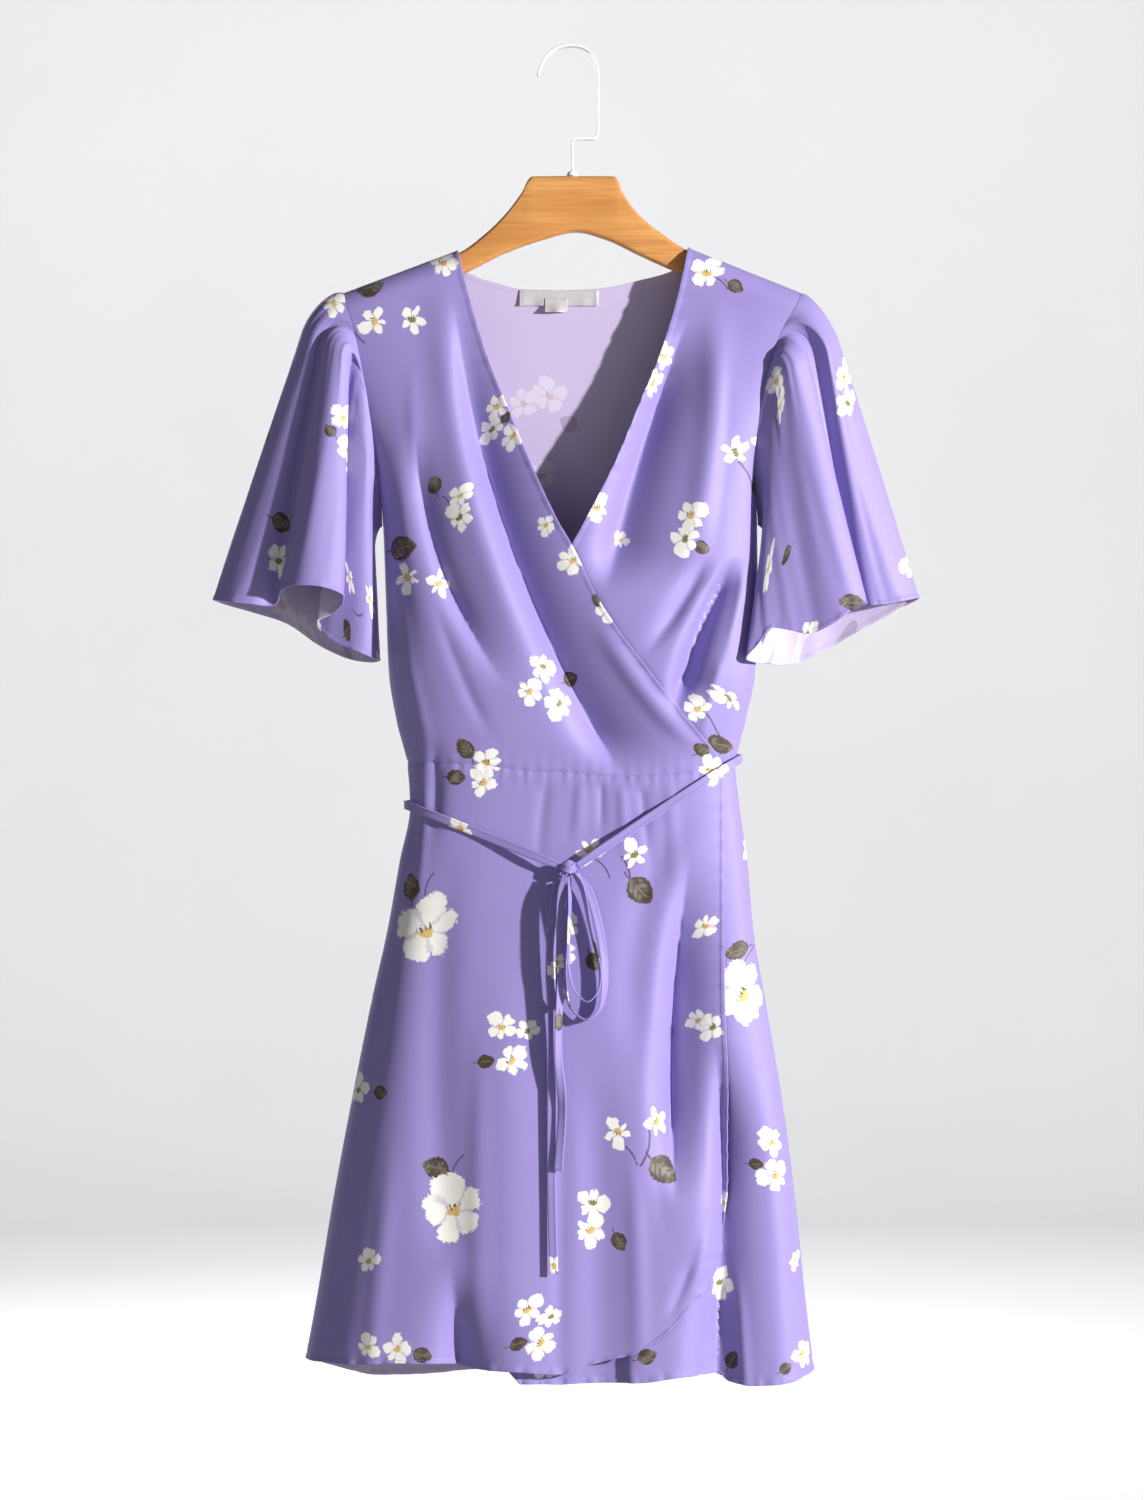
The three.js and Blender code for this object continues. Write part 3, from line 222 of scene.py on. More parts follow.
# Finer creases, in the same columns: small valleys and ridges beside the large folds, gathers
# at the waist and the dart, and drag lines from the shoulders.
FRONT_CREASES = [
    [-128, -240, -122, -340, -104, -450, 5, 6, 1, 1.4, 0.4, 0.4],
    [-142, -330, -134, -420, -118, -500, 4, 6, 1, -1.6, 0.4, 0.4],
    [-112, -430, -88, -500, -60, -560, 5, 6, 1.1, -1.8, 0.4, 0.3],
    [-135, -470, -122, -520, -112, -568, 4, 5, 1, 1.8, 0.4, 0.3],
    [125, -230, 122, -330, 112, -420, 5, 6, 1, -1.5, 0.4, 0.4],
    [138, -414, 132, -450, 118, -500, 4, 5, 1, 2.6, 0.2, 0.5],
    [141, -430, 138, -480, 132, -540, 4, 4, 1, -2.2, 0.3, 0.4],
    [120, -412, 104, -450, 90, -480, 4, 4, 1, 1.6, 0.3, 0.5],
    [122, -480, 112, -520, 104, -560, 5, 5, 1, 2.4, 0.3, 0.3],
    [-124, -590, -128, -650, -136, -720, 4, 5, 1.2, -2.4, 0.2, 0.5],
    [-116, -582, -118, -640, -122, -700, 3, 4, 1.2, 1.8, 0.2, 0.5],
    [-20, -584, -24, -620, -28, -680, 4, 5, 1.4, -1.2, 0.15, 0.6],
    [8, -586, 6, -610, 3, -650, 3, 5, 1.4, 1.1, 0.15, 0.6],
    [24, -586, 24, -606, 24, -640, 2.5, 3, 1.4, -1.4, 0.15, 0.6],
    [40, -588, 41, -612, 44, -660, 3, 4, 1.4, 1.2, 0.15, 0.6],
    [55, -587, 58, -615, 64, -670, 3, 4, 1.4, -1.4, 0.15, 0.6],
    [78, -585, 80, -620, 84, -690, 4, 5, 1.4, 1.1, 0.15, 0.6],
    [88, -700, 84, -800, 88, -900, 6, 8, 1.2, 2.4, 0.4, 0.4],
    [70, -760, 66, -850, 76, -960, 5, 7, 1.2, -1.8, 0.4, 0.4],
    [110, -850, 112, -900, 106, -960, 4, 4, 1, 2, 0.4, 0.4],
    [96, -960, 88, -985, 76, -1015, 5, 5, 1, -2.4, 0.4, 0.4],
    [108, -935, 102, -965, 92, -995, 4, 4, 1, 2.2, 0.4, 0.4],
    [-140, -860, -150, -960, -160, -1075, 6, 8, 1.2, 2, 0.4, 0],
    [-70, -760, -72, -880, -72, -1060, 7, 8, 1.2, 1.6, 0.4, 0.2],
    [-6, -800, -8, -930, -10, -1075, 6, 7, 1.2, -1.6, 0.4, 0.1],
    [48, -860, 52, -950, 54, -1060, 6, 6, 1.2, 1.8, 0.4, 0.2],
    [146, -640, 152, -760, 160, -900, 4, 5, 1.3, -1.8, 0.3, 0.4],
    [118, -1000, 118, -1030, 118, -1075, 4, 4, 1.4, 3, 0.5, 0],
    [130, -960, 134, -1010, 138, -1075, 4, 4, 1.3, 2.4, 0.5, 0],
]
BACK_CREASES = [
    [-130, -240, -122, -350, -110, -470, 6, 7, 1, 1.6, 0.4, 0.4],
    [128, -240, 120, -350, 108, -470, 7, 6, 1, 1.6, 0.4, 0.4],
    [-92, -500, -88, -540, -84, -574, 4, 5, 1, -1.6, 0.4, 0.1],
    [84, -500, 82, -540, 80, -574, 5, 4, 1, -1.6, 0.4, 0.1],
    [-46, -582, -52, -640, -60, -720, 5, 5, 1.4, -1.8, 0.15, 0.6],
    [10, -582, 12, -640, 14, -720, 5, 5, 1.4, 1.8, 0.15, 0.6],
    [60, -582, 66, -640, 74, -720, 5, 5, 1.4, -1.8, 0.15, 0.6],
    [-100, -860, -108, -960, -116, -1075, 7, 8, 1.2, 2, 0.4, 0],
    [8, -840, 8, -950, 8, -1075, 7, 8, 1.2, 2, 0.4, 0],
    [64, -860, 70, -960, 74, -1075, 7, 7, 1.2, -2, 0.4, 0],
]
FOLDS = {"front": FRONT_FOLDS + FRONT_CREASES, "back": BACK_FOLDS + BACK_CREASES}

# The sleeves, one row for each station round the tube: its place on the armhole, the tube just
# below its head, and its lower edge.
RIGHT_SLEEVE = table(
    "arm capX capY capZ hemX hemY hemZ",
    [
        [0.0, -215, 0, -228, -286.5, 2, -442],
        [0.06, -212, -9, -232, -274, -10, -444],
        [0.12, -206, -14, -237, -255, -14, -446],
        [0.17, -200, -12, -241, -237, -8, -447],
        [0.21, -196, -20, -242, -229, -26, -435],
        [0.27, -188.5, -26, -246, -212, -40, -432],
        [0.33, -182, -26.5, -250, -194, -38, -434],
        [0.38, -177, -23, -254, -180.5, -28, -441],
        [0.42, -177, -17, -258, -187, -14, -452],
        [0.47, -175, -15, -264, -203, -6, -461],
        [0.56, -169.5, -18, -292, -191, -10, -475],
        [0.72, -162.5, -17, -338, -172, -15, -483],
        [0.88, -158, -10, -378, -158, -11, -489],
        [1.0, -157, 0, -402, -153, 0, -491],
        [1.14, -159, 9, -376, -161, 10, -492],
        [1.35, -165, 15, -322, -179, 16, -489],
        [1.55, -176, 17, -277, -203, 18, -478],
        [1.7, -190, 16, -250, -228, 18, -461],
        [1.82, -202, 14, -238, -255, 16, -452],
        [1.93, -211, 8, -231, -276, 11, -446],
    ],
)
LEFT_SLEEVE = table(
    "arm capX capY capZ hemX hemY hemZ",
    [
        [0.0, 214, 0, -236, 278.5, 2, -441],
        [0.05, 211.5, -9, -240, 267, -9, -443],
        [0.1, 208, -15, -244, 252, -13, -446],
        [0.14, 204, -20, -247, 240, -14, -447],
        [0.18, 197, -13, -250, 229, -8, -449],
        [0.21, 190.5, -15, -252, 226, -13, -450],
        [0.24, 187, -23, -254, 235, -28, -446],
        [0.3, 180, -28, -257, 222, -37, -452],
        [0.38, 172.5, -28, -262, 206, -37, -463],
        [0.48, 166.5, -25, -276, 189, -33, -470],
        [0.6, 161, -22, -298, 172, -32, -467],
        [0.72, 157, -20, -328, 158, -31, -466],
        [0.84, 154, -18, -362, 149, -30, -478],
        [0.94, 154, -11, -388, 139, -29, -490],
        [1.02, 157, -2, -402, 149, -17, -493],
        [1.12, 159, 7, -386, 156, 1, -493],
        [1.3, 163, 14, -336, 173, 13, -494],
        [1.5, 172, 17, -287, 197, 17, -486],
        [1.7, 187, 16, -256, 229, 18, -468],
        [1.86, 203, 11, -244, 262, 13, -450],
    ],
)
CAP_AT = 0.15
SLEEVE_STEPS = 10

# The knot of the tie, and where each piece of the tie leaves it.
KNOT = {"x": -2, "y": -45, "z": -656, "width": 13, "depth": 10, "height": 15}
KNOT_CLEAR = 0.9


def knot_exit(dx, dy, dz):
    reach = 1 / math.hypot(2 * dx / KNOT["width"], 2 * dy / KNOT["depth"], 2 * dz / KNOT["height"])
    out = reach + KNOT_CLEAR / math.hypot(dx, dy, dz)
    return [KNOT["x"] + out * dx, KNOT["y"] + out * dy, KNOT["z"] + out * dz]


# Free ends and loops of the tie: places, and how far its flat is turned from facing the front.
LONG_TAIL = [
    [*knot_exit(-0.7, 0.1, -0.7), -20], [-12.5, -46, -678, 0], [-15.5, -49, -727, 20],
    [-14.5, -51, -790, 15], [-15.5, -54, -852, 5], [-15, -57.5, -922, 0], [-13.5, -61, -974, 0],
]
SHORT_TAIL = [
    [*knot_exit(-0.45, -0.6, -0.65), -10], [-8, -53.5, -682, 10], [-8.5, -56.5, -745, 40],
    [-10, -57.5, -800, 30], [-7, -58, -842, -20], [-10, -59.5, -893, 0],
]
SMALL_LOOP = [
    [*knot_exit(0.1, -0.5, -1), 50], [-1, -56, -682, 70], [-1.5, -61, -735, 80],
    [4, -62, -753, 88], [13, -62.5, -760, 90], [21, -62, -752, 92], [23, -60.5, -738, 100],
    [15, -58, -702, 110], [8.5, -55, -671, 120], [*knot_exit(0.6, -0.6, -0.55), 130],
]
LARGE_LOOP = [
    [*knot_exit(0.85, -0.05, -0.5), 40], [13, -45.5, -672, 14], [24, -48, -712, 18],
    [26.5, -49.5, -748, 42], [22, -50, -768, 76], [12, -50.5, -775, 90], [0, -50, -766, 96],
    [-5, -48.5, -745, 120], [-4.5, -46.5, -705, 140], [-1.5, -45, -678, 120],
    [*knot_exit(0.05, 0.05, -1), 92],
]
TIE_BUNCHED = 4
TIE_SIDE_Z = {"minX": -606, "maxX": -569}
TIE_STANDS_OFF = 8

# The print. Each row is a motif: its kind, its place seen from the front, its radius and its
# turn in degrees. Blooms are open flowers, buds are narrower ones with pointed petals.
PRINT = {
    "over": [
        ["large", -115, -706, 26, 20], ["leaf", -127, -671, 11, 100], ["stem", -112, -669, 10, 70],
        ["large", -93, -925, 26, 15], ["leaf", -107, -892, 11, 165], ["stem", -89, -890, 10, 60],
        ["bloom", -55, -781, 13, 10], ["bloom", -35, -784, 10, 80], ["bloom", -47, -807, 14, 50],
        ["leaf", -67, -808, 7, 10], ["bloom", -34, -1002, 13, 30], ["bloom", -16, -1008, 10, 5],
        ["bloom", -24, -1028, 14, 65], ["leaf", -41, -1029, 7, 20],
        ["bud", 15, -642, 14, 200], ["bud", 50, -645, 14, 20], ["leaf", 55, -674, 13, -45],
        ["stem", 43, -660, 14, -75], ["stem", 24, -656, 11, -50],
        ["bud", 37, -864, 15, 160], ["bud", 67, -856, 15, 60], ["leaf", 73, -894, 14, -40],
        ["stem", 45, -881, 12, -50], ["stem", 58, -875, 16, -100],
        ["bloom", 17, -919, 14, 0], ["bloom", 15, -941, 14, 40], ["leaf", 38, -950, 8, -60],
        ["bloom", -4, -700, 13, 15], ["bloom", -6, -721, 13, 50], ["leaf", 18, -730, 8, -60],
        ["bloom", -160, -966, 11, 25], ["bloom", -169, -833, 13, 0], ["leaf", -151, -834, 7, 0],
        ["bloom", -160, -1033, 11, 0], ["bloom", -137, -1034, 13, 40], ["leaf", -117, -1039, 8, -20],
        ["bloom", -163, -762, 10, 0], ["bloom", 107, -702, 11, 10], ["bloom", 101, -777, 10, 30],
        ["bloom", 112, -782, 12, 60], ["bloom", -67, -572, 12, 0], ["bloom", -70, -588, 13, 40],
        ["leaf", -84, -561, 9, 120], ["leaf", -91, -584, 8, 0], ["bloom", 121, -922, 9, 0],
        ["bud", -157, -221, 15, 100], ["bud", -127, -219, 14, 10], ["leaf", -160, -193, 11, 15],
        ["stem", -170, -228, 12, 120], ["bloom", -102, -174, 12, 0], ["bloom", -59, -289, 12, 20],
        ["bloom", -63, -307, 12, 50], ["bloom", -46, -313, 12, 70], ["leaf", -52, -298, 5, 60],
        ["bloom", -88, -361, 11, 10], ["bloom", -88, -378, 13, 50], ["leaf", -108, -352, 8, 125],
        ["stem", -98, -368, 9, -50], ["bud", -130, -426, 15, 150], ["bud", -105, -430, 14, 30],
        ["leaf", -134, -402, 13, 10], ["bloom", -22, -496, 13, 0], ["bloom", -33, -516, 12, 30],
        ["bloom", -10, -525, 14, 60], ["leaf", -1, -506, 8, 20], ["bloom", 1, -412, 13, 15],
        ["bloom", 31, -452, 13, 35], ["bloom", 48, -461, 12, 70], ["leaf", 22, -444, 7, 150],
        ["bloom", 110, -578, 12, 0], ["bloom", -20, -384, 9, 10], ["leaf", 104, -562, 7, 30],
    ],
    "under": [
        ["bloom", 108, -182, 15, 0], ["leaf", 131, -193, 7, -30], ["stem", 118, -190, 9, -40],
        ["bloom", 74, -249, 12, 20], ["bloom", 65, -270, 13, 60], ["bud", 130, -326, 15, 110],
        ["bud", 152, -317, 13, 20], ["leaf", 149, -353, 11, -70], ["stem", 139, -345, 14, -60],
        ["bloom", 95, -376, 14, 10], ["bloom", 90, -395, 14, 60], ["leaf", 104, -402, 7, -20],
        ["bloom", 20, -370, 13, 0], ["bloom", 100, -530, 12, 20], ["bud", 124, -521, 14, 80],
        ["leaf", 119, -558, 10, -10], ["stem", 112, -545, 12, -70], ["bloom", 40, -395, 8, 20],
        ["large", 137, -757, 24, 60], ["leaf", 132, -722, 10, 200], ["stem", 144, -724, 9, 50],
        ["bloom", 159, -874, 13, 30], ["bloom", 162, -900, 15, 70], ["leaf", 147, -891, 6, 0],
        ["bloom", 117, -985, 15, 10], ["bloom", 183, -1042, 13, 30], ["leaf", 170, -1052, 6, 30],
        ["bloom", 178, -968, 9, 20], ["bud", 140, -640, 12, 40], ["leaf", 128, -1046, 8, 60],
        ["bloom", -20, -1046, 13, 30], ["leaf", 60, -1040, 8, 20],
    ],
    "right_sleeve": [
        ["bloom", -181, -298, 13, 20], ["bloom", -178, -324, 13, 60], ["leaf", -191, -309, 6, 150],
        ["bloom", -188, -206, 12, 0], ["bloom", -233, -410, 15, 30], ["leaf", -230, -381, 10, 10],
        ["bud", -177, -425, 13, 30], ["bud", -160, -442, 15, 80], ["leaf", -179, -466, 10, 100],
        ["stem", -170, -452, 12, -110], ["leaf", -243, -312, 5, 20], ["bloom", -217, -457, 12, 0],
    ],
    "left_sleeve": [
        ["bloom", 164, -270, 13, 20], ["bloom", 166, -290, 11, 60], ["bloom", 218, -265, 13, 20],
        ["bloom", 220, -285, 13, 60], ["bloom", 157, -417, 15, 20], ["leaf", 171, -409, 7, 25],
        ["leaf", 223, -445, 10, 15], ["bloom", 270, -414, 12, 0], ["bloom", 186, -487, 12, 0],
    ],
}
PRINT["inside_back"] = [
    ["bloom", -17, -278, 16, 20], ["bloom", -38, -284, 14, 60], ["bloom", -24, -342, 13, 0],
    ["leaf", -2, -300, 8, 30], ["bud", 60, -420, 14, 20], ["bud", 92, -330, 13, 80],
    ["bloom", -80, -440, 14, 10], ["bloom", -96, -456, 14, 50], ["leaf", -70, -460, 8, 0],
    ["bloom", 20, -520, 16, 10], ["bud", -120, -320, 14, 30], ["bloom", 110, -500, 14, 0],
    ["bloom", 96, -240, 13, 0], ["bud", -110, -230, 13, 60], ["leaf", 70, -450, 9, 50],
]

# The hanger: a board with a block at its top and two sloping arms, and a strip bent to a hook.
WOOD_THICK = 11
WOOD_ROUND = 4
ARM_HEIGHT = 17
ARM_END_X = 174
HANGER_END = 6
HOOK_WIDTH = 11
HOOK_THICK = 1.6

# Neck label and size tab: left, right, top, bottom and thickness.
LABEL = {"minX": -42, "maxX": 22, "top": -193.4, "bottom": -206, "thick": 0.4}
SIZE_TAB = {"minX": -21, "maxX": -3, "top": -200, "bottom": -211, "thick": 0.4}


def read(rows, key, column, at):
    """Reads a table on a smooth curve through its rows that never swings past them."""
    keys, values = rows[key], rows[column]
    sign = 1.0 if keys[1] > keys[0] else -1.0
    k = keys * sign
    rise = np.diff(values) / np.diff(k)
    product = rise[:-1] * rise[1:]
    total = np.where(product > 0, rise[:-1] + rise[1:], 1.0)
    slope = np.concatenate([rise[:1], np.where(product > 0, 2 * product / total, 0.0), rise[-1:]])
    x = np.clip(np.asarray(at, float) * sign, k[0], k[-1])
    i = np.clip(np.searchsorted(k, x, side="right") - 1, 0, len(k) - 2)
    span = k[i + 1] - k[i]
    t = (x - k[i]) / span
    t2 = t * t
    t3 = t2 * t
    low = (2 * t3 - 3 * t2 + 1) * values[i] + (t3 - 2 * t2 + t) * span * slope[i]
    return low + (3 * t2 - 2 * t3) * values[i + 1] + (t3 - t2) * span * slope[i + 1]


def body(column, z):
    return read(BODY, "z", column, z)


def shoulder_z(x):
    def line(side):
        (neck_x, neck_z), (tip_x, tip_z) = SHOULDER[side]["neck"], SHOULDER[side]["tip"]
        return neck_z + (x - neck_x) / (tip_x - neck_x) * (tip_z - neck_z)
    return np.where(np.asarray(x) < 0, line("minX"), line("maxX"))


def relief(folds, x, z):
    """How far the folds move the cloth out at a place."""
    out = np.zeros(np.broadcast(x, z).shape)
    for x0, z0, x1, z1, x2, z2, left, right, spread, height, fade_in, fade_out in folds:
        s = np.clip((z0 - z) / (z0 - z2), 0, 1)
        m = (z0 - z1) / (z0 - z2)
        centre = x0 * (s - m) * (s - 1) / m + x1 * s * (s - 1) / (m * (m - 1)) + x2 * s * (s - m) / (1 - m)
        away = x - centre
        width = np.where(away < 0, left, right) * lerp(1, spread, s)
        fade = smooth(0, fade_in, s) * (1 - smooth(1 - fade_out, 1.000001, s))
        sharp = VALLEY_SHARP if height < VALLEY_DEEP else 2.0
        deeper = VALLEY_DEEPER if height < VALLEY_DEEP else 1.0
        out += np.where((s > 0) & (s < 1), height * deeper * fade * np.exp(-np.abs(away / width) ** sharp), 0)
    return out


def depth(face, folds, x, z):
    """Distance of the middle of the cloth from the plane of the seams."""
    low, high = body("minX", z), body("maxX", z)
    across = np.clip(np.abs((2 * x - low - high) / (high - low)), 0, 1)
    flat = FRONT_FLATTER if face == "front" else 1.0
    rounding = (1 - across ** (flat * body("square", z))) ** body("soft", z)
    drop = np.clip((shoulder_z(x) - z) / SHOULDER_ROUND, 0, 1)
    shoulder = np.sqrt(1 - (1 - drop) ** 2)
    edge = body("edge", z)
    return SEAM / 2 + shoulder * (edge + rounding * (body(face, z) - edge + relief(folds, x, z)))


def layer_shift(layer, x, z):
    """The upper front lies out and the lower front in, except at the seam that holds each."""
    low, high = body("minX", z), body("maxX", z)
    across = (2 * x - low - high) / (high - low)
    down = 1 - smooth(LAYERS_FULL_Z, LAYERS_START_Z, z)
    if layer == "over":
        return LAYER * down * smooth(-1, -1 + SEAM_ZONE, across)
    if layer == "under":
        cover = np.where(z > WAIST_Z, read(OVER_NECK, "z", "x", z), read(OVER_WRAP, "z", "x", z))
        covered = smooth(0, COVERED_OVER, cover - x) * COVERED_DEEPER
        return -(LAYER + covered) * down * (1 - smooth(1 - SEAM_ZONE, 1, across))
    return np.zeros_like(z)


def normals(points, tube, outward):
    """The way that a grid of places faces. outward gives the rough direction of its middle."""
    if tube:
        around = np.roll(points, -1, axis=1) - np.roll(points, 1, axis=1)
    else:
        around = np.gradient(points, axis=1)
    out = np.cross(around, np.gradient(points, axis=0))
    out /= np.maximum(np.linalg.norm(out, axis=2, keepdims=True), 1e-9)
    return out if (out * outward).sum() > 0 else -out


def spaced(length, start, end, count):
    """Fractions along a length: its edges' own distances, with even steps between them."""
    length = np.atleast_1d(np.asarray(length, float))[:, None]
    first = np.array(EDGE[start]) / length
    last = 1 - np.array(EDGE[end])[::-1] / length
    between = np.linspace(0, 1, count + 1)[1:-1]
    middle = first[:, -1:] + (last[:, :1] - first[:, -1:]) * between
    return np.hstack([first, middle, last])


def ripple(at, wave, seed):
    """A smooth uneven wave between about -1 and 1."""
    turns = np.random.default_rng(seed).uniform(0, math.tau, 4)
    scales = [1.0, 0.63, 0.41, 0.29]
    return sum(np.sin(math.tau * at / (wave * s) + t) * s for s, t in zip(scales, turns)) / 1.6


def side_edge(column, top, bottom):
    def at(v):
        z = lerp(top, bottom, v)
        return body(column, z), z
    at.column = column
    return at


def free_edge(rows, top, bottom):
    def at(v):
        z = lerp(top, bottom, v)
        return read(rows, "z", "x", z), z
    at.column = None
    return at


def panel(face, layer, left, right, top, bottom, size, edges, count):
    """A panel of the dress as a grid. top and bottom are tables of heights, with an offset."""
    v = spaced(size[1], edges[2], edges[3], count[1])[0][:, None]
    (ax, az), (bx, bz) = left(v), right(v)
    width = np.abs(bx - ax).ravel()
    w = spaced(width, edges[0], edges[1], count[0])
    z = lerp(az, bz, w)
    for rows, off, end, power in ((*top, 0.0, (1 - v) ** 6), (*bottom, 1.0, v ** 6)):
        if rows is not None:
            (x0, z0), (x1, z1) = left(end), right(end)
            z = z + (read(rows, "x", "z", lerp(x0, x1, w)) + off - lerp(z0, z1, w)) * power
    x = lerp(ax, bx, w)
    if left.column:
        x = x + (body(left.column, z) - ax) * (1 - w) ** 4
    if right.column:
        x = x + (body(right.column, z) - bx) * w ** 4
    side = -1.0 if face == "front" else 1.0
    base = np.stack([x, side * depth(face, FOLDS[face], x, z), z], axis=2)
    facing = np.array([0, side, 0])
    base += normals(base, False, facing) * layer_shift(layer, x, z)[:, :, None]
    from_left, from_right = w * width[:, None], (1 - w) * width[:, None]
    from_top, from_bottom = v * size[1] + 0 * w, (1 - v) * size[1] + 0 * w
    free = np.full(w.shape, 1e3)
    for name, away in zip(edges, (from_left, from_right, from_top, from_bottom)):
        free = np.minimum(free, away) if name == "free" else free
    waist = from_top if edges[2] == "waist" else from_bottom
    if "waist" in edges:
        pucker = 0.6 * ripple(x, 10, 3) * np.exp(-waist / 8) + 0.9 * np.exp(-((waist / 2.2) ** 2))
        base -= normals(base, False, facing) * pucker[:, :, None]
    along = np.where(from_bottom < 6, x, z)
    wavy = 0.75 * ripple(along, 16, 11) * np.exp(-free / 6)
    base += normals(base, False, facing) * wavy[:, :, None]
    thick = np.where(free <= HEM_STITCH + 0.01, HEM_SHELL, SHELL)
    return {"points": base, "normals": normals(base, False, facing), "thick": thick, "tube": False}


def waist_at(rows, x):
    return float(read(rows, "x", "z", x))


SIDE_X = (-130.5, 131.5)
GAP = SEAM / 2


def bodice_front_right():
    tip, neck = SHOULDER["minX"]["tip"], SHOULDER["minX"]["neck"]
    side_end = waist_at(WAIST, SIDE_X[0]) + GAP
    return panel(
        "front", "over",
        side_edge("minX", tip[1], side_end),
        free_edge(OVER_NECK, neck[1], waist_at(WAIST, OVER_NECK["x"][-1]) + GAP),
        (None, 0), (WAIST, GAP), (200, 395), ("seam", "free", "shoulder", "waist"), (76, 150),
    )


def bodice_front_left():
    tip, neck = SHOULDER["maxX"]["tip"], SHOULDER["maxX"]["neck"]
    side_end = waist_at(WAIST, SIDE_X[1]) + GAP
    return panel(
        "front", "under",
        free_edge(UNDER_NECK, neck[1], waist_at(WAIST, UNDER_NECK["x"][-1]) + GAP),
        side_edge("maxX", tip[1], side_end),
        (None, 0), (WAIST, GAP), (200, 395), ("free", "seam", "shoulder", "waist"), (76, 150),
    )


def skirt_front_right():
    top = waist_at(WAIST, SIDE_X[0]) - GAP
    wrap_top = waist_at(WAIST, OVER_WRAP["x"][0]) - GAP
    return panel(
        "front", "over",
        side_edge("minX", top, OVER_HEM["z"][0]),
        free_edge(OVER_WRAP, wrap_top, OVER_WRAP["z"][-1]),
        (WAIST, -GAP), (OVER_HEM, 0), (280, 475), ("seam", "free", "waist", "free"), (112, 180),
    )


def skirt_front_left():
    top = waist_at(WAIST, SIDE_X[1]) - GAP
    wrap_top = waist_at(WAIST, UNDER_WRAP["x"][0]) - GAP
    return panel(
        "front", "under",
        free_edge(UNDER_WRAP, wrap_top, UNDER_WRAP["z"][-1]),
        side_edge("maxX", top, UNDER_HEM["z"][-1]),
        (WAIST, -GAP), (UNDER_HEM, 0), (280, 485), ("free", "seam", "waist", "free"), (104, 170),
    )


def skirt_back():
    return panel(
        "back", "single",
        side_edge("minX", waist_at(BACK_WAIST, SIDE_X[0]) - GAP, BACK_HEM["z"][0]),
        side_edge("maxX", waist_at(BACK_WAIST, SIDE_X[1]) - GAP, BACK_HEM["z"][-1]),
        (BACK_WAIST, -GAP), (BACK_HEM, 0), (330, 488), ("seam", "seam", "waist", "free"), (118, 170),
    )


def bodice_back():
    """The back bodice, whose top follows the two shoulders and the neckline between them."""
    (left_x, left_z), (right_x, right_z) = SHOULDER["minX"]["neck"], SHOULDER["maxX"]["neck"]
    (tip_l, tip_z), (tip_r, _) = SHOULDER["minX"]["tip"], SHOULDER["maxX"]["tip"]
    close = np.array([0.3, 0.9, 1.8, 3.0, 4.5, 6.5, 9.0])
    shoulder = np.concatenate([np.array(EDGE["seam"]) / 90, np.linspace(0.1, 1, 32)])
    neck = np.concatenate([left_x + close, np.linspace(left_x + 12, right_x - 12, 60), right_x - close[::-1]])
    top_x = np.concatenate([lerp(tip_l, left_x, shoulder), neck, lerp(tip_r, right_x, shoulder)[::-1]])
    top_z = np.concatenate([
        lerp(tip_z, left_z, shoulder), read(BACK_NECK, "x", "z", neck), lerp(tip_z, right_z, shoulder)[::-1],
    ])
    v = spaced(385, "shoulder", "waist", 140)[0][:, None]
    w = (top_x - tip_l) / (tip_r - tip_l)
    even = lerp(top_x, lerp(body("minX", WAIST_Z), body("maxX", WAIST_Z), w), v)
    z = lerp(top_z, read(BACK_WAIST, "x", "z", even) + GAP, v)
    inside = lerp(body("minX", z), body("maxX", z), w)
    x = lerp(top_x, inside, smooth(0, 0.15, v))
    x[:, 0], x[:, -1] = body("minX", z[:, 0]), body("maxX", z[:, -1])
    base = np.stack([x, depth("back", FOLDS["back"], x, z), z], axis=2)
    facing = np.array([0, 1.0, 0])
    waist = (1 - v) * 385 + 0 * x
    groove = 0.9 * np.exp(-((waist / 2.2) ** 2)) + 0.35 * ripple(x, 17, 5) * np.exp(-waist / 14)
    base -= normals(base, False, facing) * groove[:, :, None]
    on_neck = (top_x > left_x) & (top_x < right_x)
    thick = np.where((v * 385 <= HEM_STITCH + 0.5) & on_neck, HEM_SHELL, SHELL)
    return {"points": base, "normals": normals(base, False, facing), "thick": thick, "tube": False}


def around(rows, column, at):
    """One closed curve through a column of the stations."""
    values, n = rows[column], len(rows[column])
    i = np.floor(at).astype(int)
    t = at - i
    turn = 2.0 if column == "arm" else 0.0
    a, b, c, d = [values[(i + k) % n] + turn * ((i + k) // n) for k in (-1, 0, 1, 2)]
    cubic = 2 * b + (c - a) * t + (2 * a - 5 * b + 4 * c - d) * t ** 2 + (3 * b - a - 3 * c + d) * t ** 3
    return 0.5 * cubic


